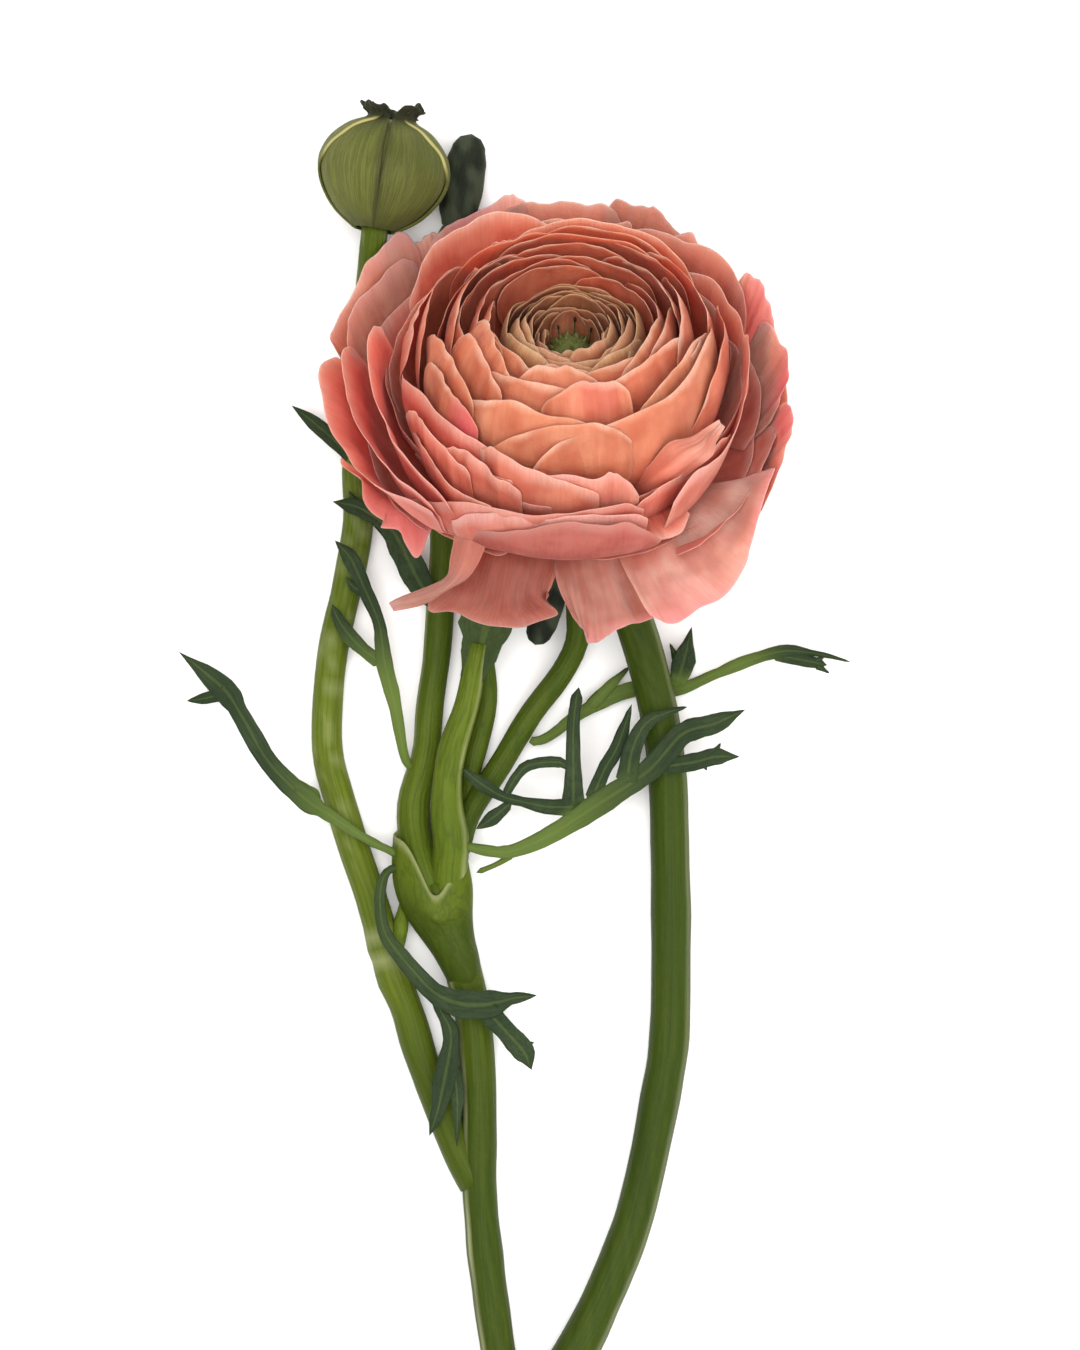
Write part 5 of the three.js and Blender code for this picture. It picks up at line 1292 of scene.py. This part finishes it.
leaves = {
    "compoundLeaf": {"fresh": lambda p: (0.45 * (1 - smooth(0, 24, p.x))
                                         * (1 - smooth(1.5, 4, p.y - 137.5 - 0.7 * max(p.x, 0)))), "fingers": [
        [(-14, 137.5, 8.2, 0.8), (-9, 136.5, 8.6, 1), (-5, 136.5, 8.8, 1.2), (2, 139.5, 9.5, 1.6),
         (10.5, 145, 10, 2.1), (19.5, 151, 10.3, 2), (25.5, 157.5, 10.8, 2), (31.5, 159.5, 10.2, 1.8),
         (37, 162, 9.5, 0.25)],
        [(20.5, 151.5, 10.4, 1.3), (27.5, 152.5, 10.6, 1.6), (31.5, 153.5, 10.2, 1.5), (36, 153.5, 9.5, 0.25)],
        [(29, 153, 10.4, 1), (30, 151, 10, 0.2)],
        [(31, 153.5, 10.3, 1), (32.5, 156, 10, 0.2)],
        [(6, 144.5, 9.8, 2.2), (6, 150, 9.8, 1.5), (6, 158.5, 9.8, 1.2), (6.5, 163.5, 9.8, 1.1), (7, 166, 9.5, 0.3)],
        [(9, 145, 10, 1.5), (11.5, 151, 10, 1.3), (14, 155.5, 10.2, 1.3), (16.5, 163, 10.4, 0.4)],
        [(15.5, 148, 10.2, 2), (16.5, 154.5, 10.8, 1.7), (19, 159.5, 11.2, 1.3), (23, 161.5, 11.4, 0.7),
         (26.5, 162.5, 11.2, 0.25)],
        [(7, 144.5, 9.8, 1.8), (1.5, 144.5, 9.8, 1.3), (-3.5, 145.5, 10.2, 0.9), (-7, 146.5, 10.6, 0.9),
         (-11, 149, 11.2, 1.2), (-14, 151.5, 12, 0.35)],
        [(-6.5, 146, 10.5, 0.8), (-4.5, 149.5, 10.4, 0.9), (-2, 152, 10.4, 1), (3.5, 152.5, 10, 1),
         (5, 151, 9.8, 0.25)],
        [(-5, 145.5, 10.3, 0.8), (-8.5, 142.5, 10, 1.3), (-11.5, 140.5, 10, 0.4)],
        [(-11.5, 132.5, 6.6, 0.5), (-8, 134, 7.8, 0.5), (-4.5, 136, 8.9, 0.6)]]},
    "thinLeaf": {"fresh": lambda p: (0.45 * (1 - smooth(36, 46, p.x))
                                     * (1 - smooth(167, 169.5, p.y) * (1 - smooth(28, 31, p.x)))), "fingers": [
        [(-2, 156, 3.2, 0.8), (1.5, 157, 3.2, 0.9), (8.5, 162, 2.6, 1.2), (16.5, 165.5, 1.5, 1.4),
         (21, 165.5, 1.3, 1.2), (25, 165.5, 1.5, 1.1), (31, 168, 2.5, 0.9), (37, 170.5, 3.2, 1.1),
         (44, 172.5, 3.6, 1.1), (50.5, 172, 3.2, 0.5), (56.5, 170.5, 2.8, 0.2)],
        [(41.5, 172, 3.5, 0.9), (47, 171, 3.4, 1.2), (52, 170, 3.2, 0.8)],
        [(49.5, 170.5, 3.3, 0.7), (51.5, 171.5, 3.2, 0.2)],
        [(50, 170, 3.3, 0.7), (52.5, 168.5, 3.1, 0.2)],
        [(8.5, 162, 2.6, 1.1), (12, 165.5, 2.7, 1.1), (16.5, 170, 2.6, 0.3)],
        [(24.5, 165.5, 1.5, 1.2), (26, 170.5, 2.4, 2.1), (27.5, 177, 3.4, 0.3)],
        [(25.5, 169.5, 2.2, 1.2), (23.5, 174, 3, 0.25)]]},
    "leftLeaf": {"fresh": lambda p: 0.4 * smooth(-50, -36, p.x), "fingers": [
        [(-23.5, 134.5, 5.5, 0.6), (-27, 136.5, 7, 0.7), (-31, 138.5, 8, 0.8), (-38, 143, 7.6, 1.2),
         (-42.5, 146, 7, 1.9), (-49, 152.5, 6, 1.6), (-54, 161, 5, 1.7), (-57.5, 166, 4.6, 2.3),
         (-65.5, 172.5, 4, 0.25)],
        [(-57, 165, 4.8, 1.4), (-60.5, 164, 4.7, 1.1), (-64, 163.5, 4.4, 0.25)],
        [(-57, 165.5, 4.8, 1.1), (-58, 168.5, 4.6, 0.2)],
        [(-45, 148.5, 6.8, 1.3), (-41, 147, 7.2, 0.9), (-39.5, 146, 7.2, 0.25)]]},
    "forkedLeaf": {"fresh": lambda p: 0.5 * (1 - smooth(163, 180, p.y)), "fingers": [
        [(-23, 151, 3.4, 0.7), (-24.5, 153.5, 5, 0.8), (-26, 162, 6.5, 1.2), (-28, 170.5, 7.6, 1.5),
         (-29, 177.5, 8, 1.1), (-31.5, 183.5, 8.2, 1.3), (-34, 189, 8, 1.5), (-37, 192.5, 7.4, 0.25)],
        [(-28, 170, 7.6, 1.3), (-31.5, 172.5, 7.8, 1.2), (-34.5, 175.5, 7.9, 1.5), (-36.5, 178.5, 7.6, 1.1),
         (-37.5, 181, 7.2, 0.25)],
        [(-30.5, 182.5, 8.2, 1), (-33.5, 184, 8.2, 0.8), (-35, 186, 7.8, 0.2)]]},
    "narrowLeaf": {"fresh": 0.0, "fingers": [
        [(-33, 205.5, 3.2, 0.9), (-35.5, 209, 5, 1.3), (-40.5, 213.5, 5.6, 1.4), (-45, 217, 5, 0.2)]]},
    "darkBract": {"fresh": 0.0, "fingers": [
        [(-18, 180.5, 3.6, 1.3), (-21.5, 184.5, 6.2, 2.3), (-24, 189.5, 7.2, 2.7), (-26.5, 194, 7.6, 2),
         (-29.5, 196.5, 7.8, 1.4), (-33, 198.5, 7.8, 1.7), (-37.5, 199.5, 7, 0.25)],
        [(-33, 198.5, 7.8, 1.2), (-34.5, 201.5, 7.4, 0.2)]]},
    "lowerLeaf": {"fresh": lambda p: 0.06 * smooth(111, 122, p.y), "fingers": [
        [(-24, 133.5, 6, 0.7), (-27.5, 132.8, 8, 0.8), (-28.8, 128.5, 8.8, 1), (-28, 122, 9, 1.2),
         (-24.5, 117, 9.2, 1.5), (-20, 112, 9.8, 1.7), (-17, 110, 10.3, 2.1), (-13.5, 109, 10.4, 2.6),
         (-9.5, 109, 10.2, 2.6), (-5, 110, 9.4, 1.2), (-0.5, 110.5, 8.4, 0.3)],
        [(-10.5, 109, 10.2, 2.1), (-6.5, 104.5, 9.6, 1.8), (-3, 100.5, 8.8, 2.1), (-1.5, 97, 8.2, 0.3)],
        [(-4, 101.5, 9.1, 1), (-1, 102, 8.6, 0.2)],
        [(-18.5, 111, 10, 1.4), (-18, 108, 9, 1), (-16, 103.5, 8, 1.4), (-17, 96.5, 7.7, 2),
         (-18.5, 89.5, 7.4, 1.4), (-20, 85, 7, 0.25)],
        [(-16.5, 100.5, 7.9, 1), (-15, 93.5, 7.7, 1.3), (-15, 83, 7.4, 0.25)]]},
    "shootBract": {"fresh": 0.1, "fingers": [
        [(-12.5, 165.5, 8.4, 1.6), (-12, 168.5, 8.8, 2.2), (-10.5, 173.5, 9.6, 3.6), (-9.5, 178, 10.4, 4.8),
         (-8.5, 183.5, 11, 4.4), (-7.5, 188.5, 11, 0.5)]]},
}
leafLook = {"depth": 0.4, "fold": 0.35, "row": 1.3, "rows": 8, "across": 14}


def makeFinger(name, points, seed):
    line = [p[:3] for p in points]
    length = evenShares(line, 10)[1]
    widths = [(i / (len(points) - 1), p[3]) for i, p in enumerate(points)]

    def place(s, t):
        ahead, behind = throughPoints(line, min(t + 0.02, 1)), throughPoints(line, max(t - 0.02, 0))
        side, up = stemAxes((ahead - behind).normalized())
        halfWidth = along(widths, t) * (1 + 0.12 * wave(t * length * 0.35, s > 0, seed))
        halfWidth *= 1 if 0 < t < 1 else 0.02
        halfDepth = min(leafLook["depth"], halfWidth * 0.75)
        turn = math.pi * s
        x = halfWidth * math.cos(turn)
        fold = leafLook["fold"] * abs(x) * smooth(0.8, 1.6, halfWidth)
        return throughPoints(line, t) + side * x + up * (halfDepth * math.sin(turn) + fold)

    piece = copyBlank(name, leafLook["across"], max(leafLook["rows"], round(length / leafLook["row"])))
    layOut(piece, place)
    faceOut(piece)
    return piece


for number, (name, look) in enumerate(leaves.items()):
    leaf = gather(name, [makeFinger(f"{name}Finger{i}", points, 80 + 10 * number + i)
                         for i, points in enumerate(look["fingers"])])
    finishGreen(leaf, "leafSkin", "leaves", nodeName(name), pale=look["fresh"], dark=0.0)
print("stage: leaves")

for blank in blanks.values():
    bpy.data.objects.remove(blank)
bpy.ops.object.select_all(action="DESELECT")
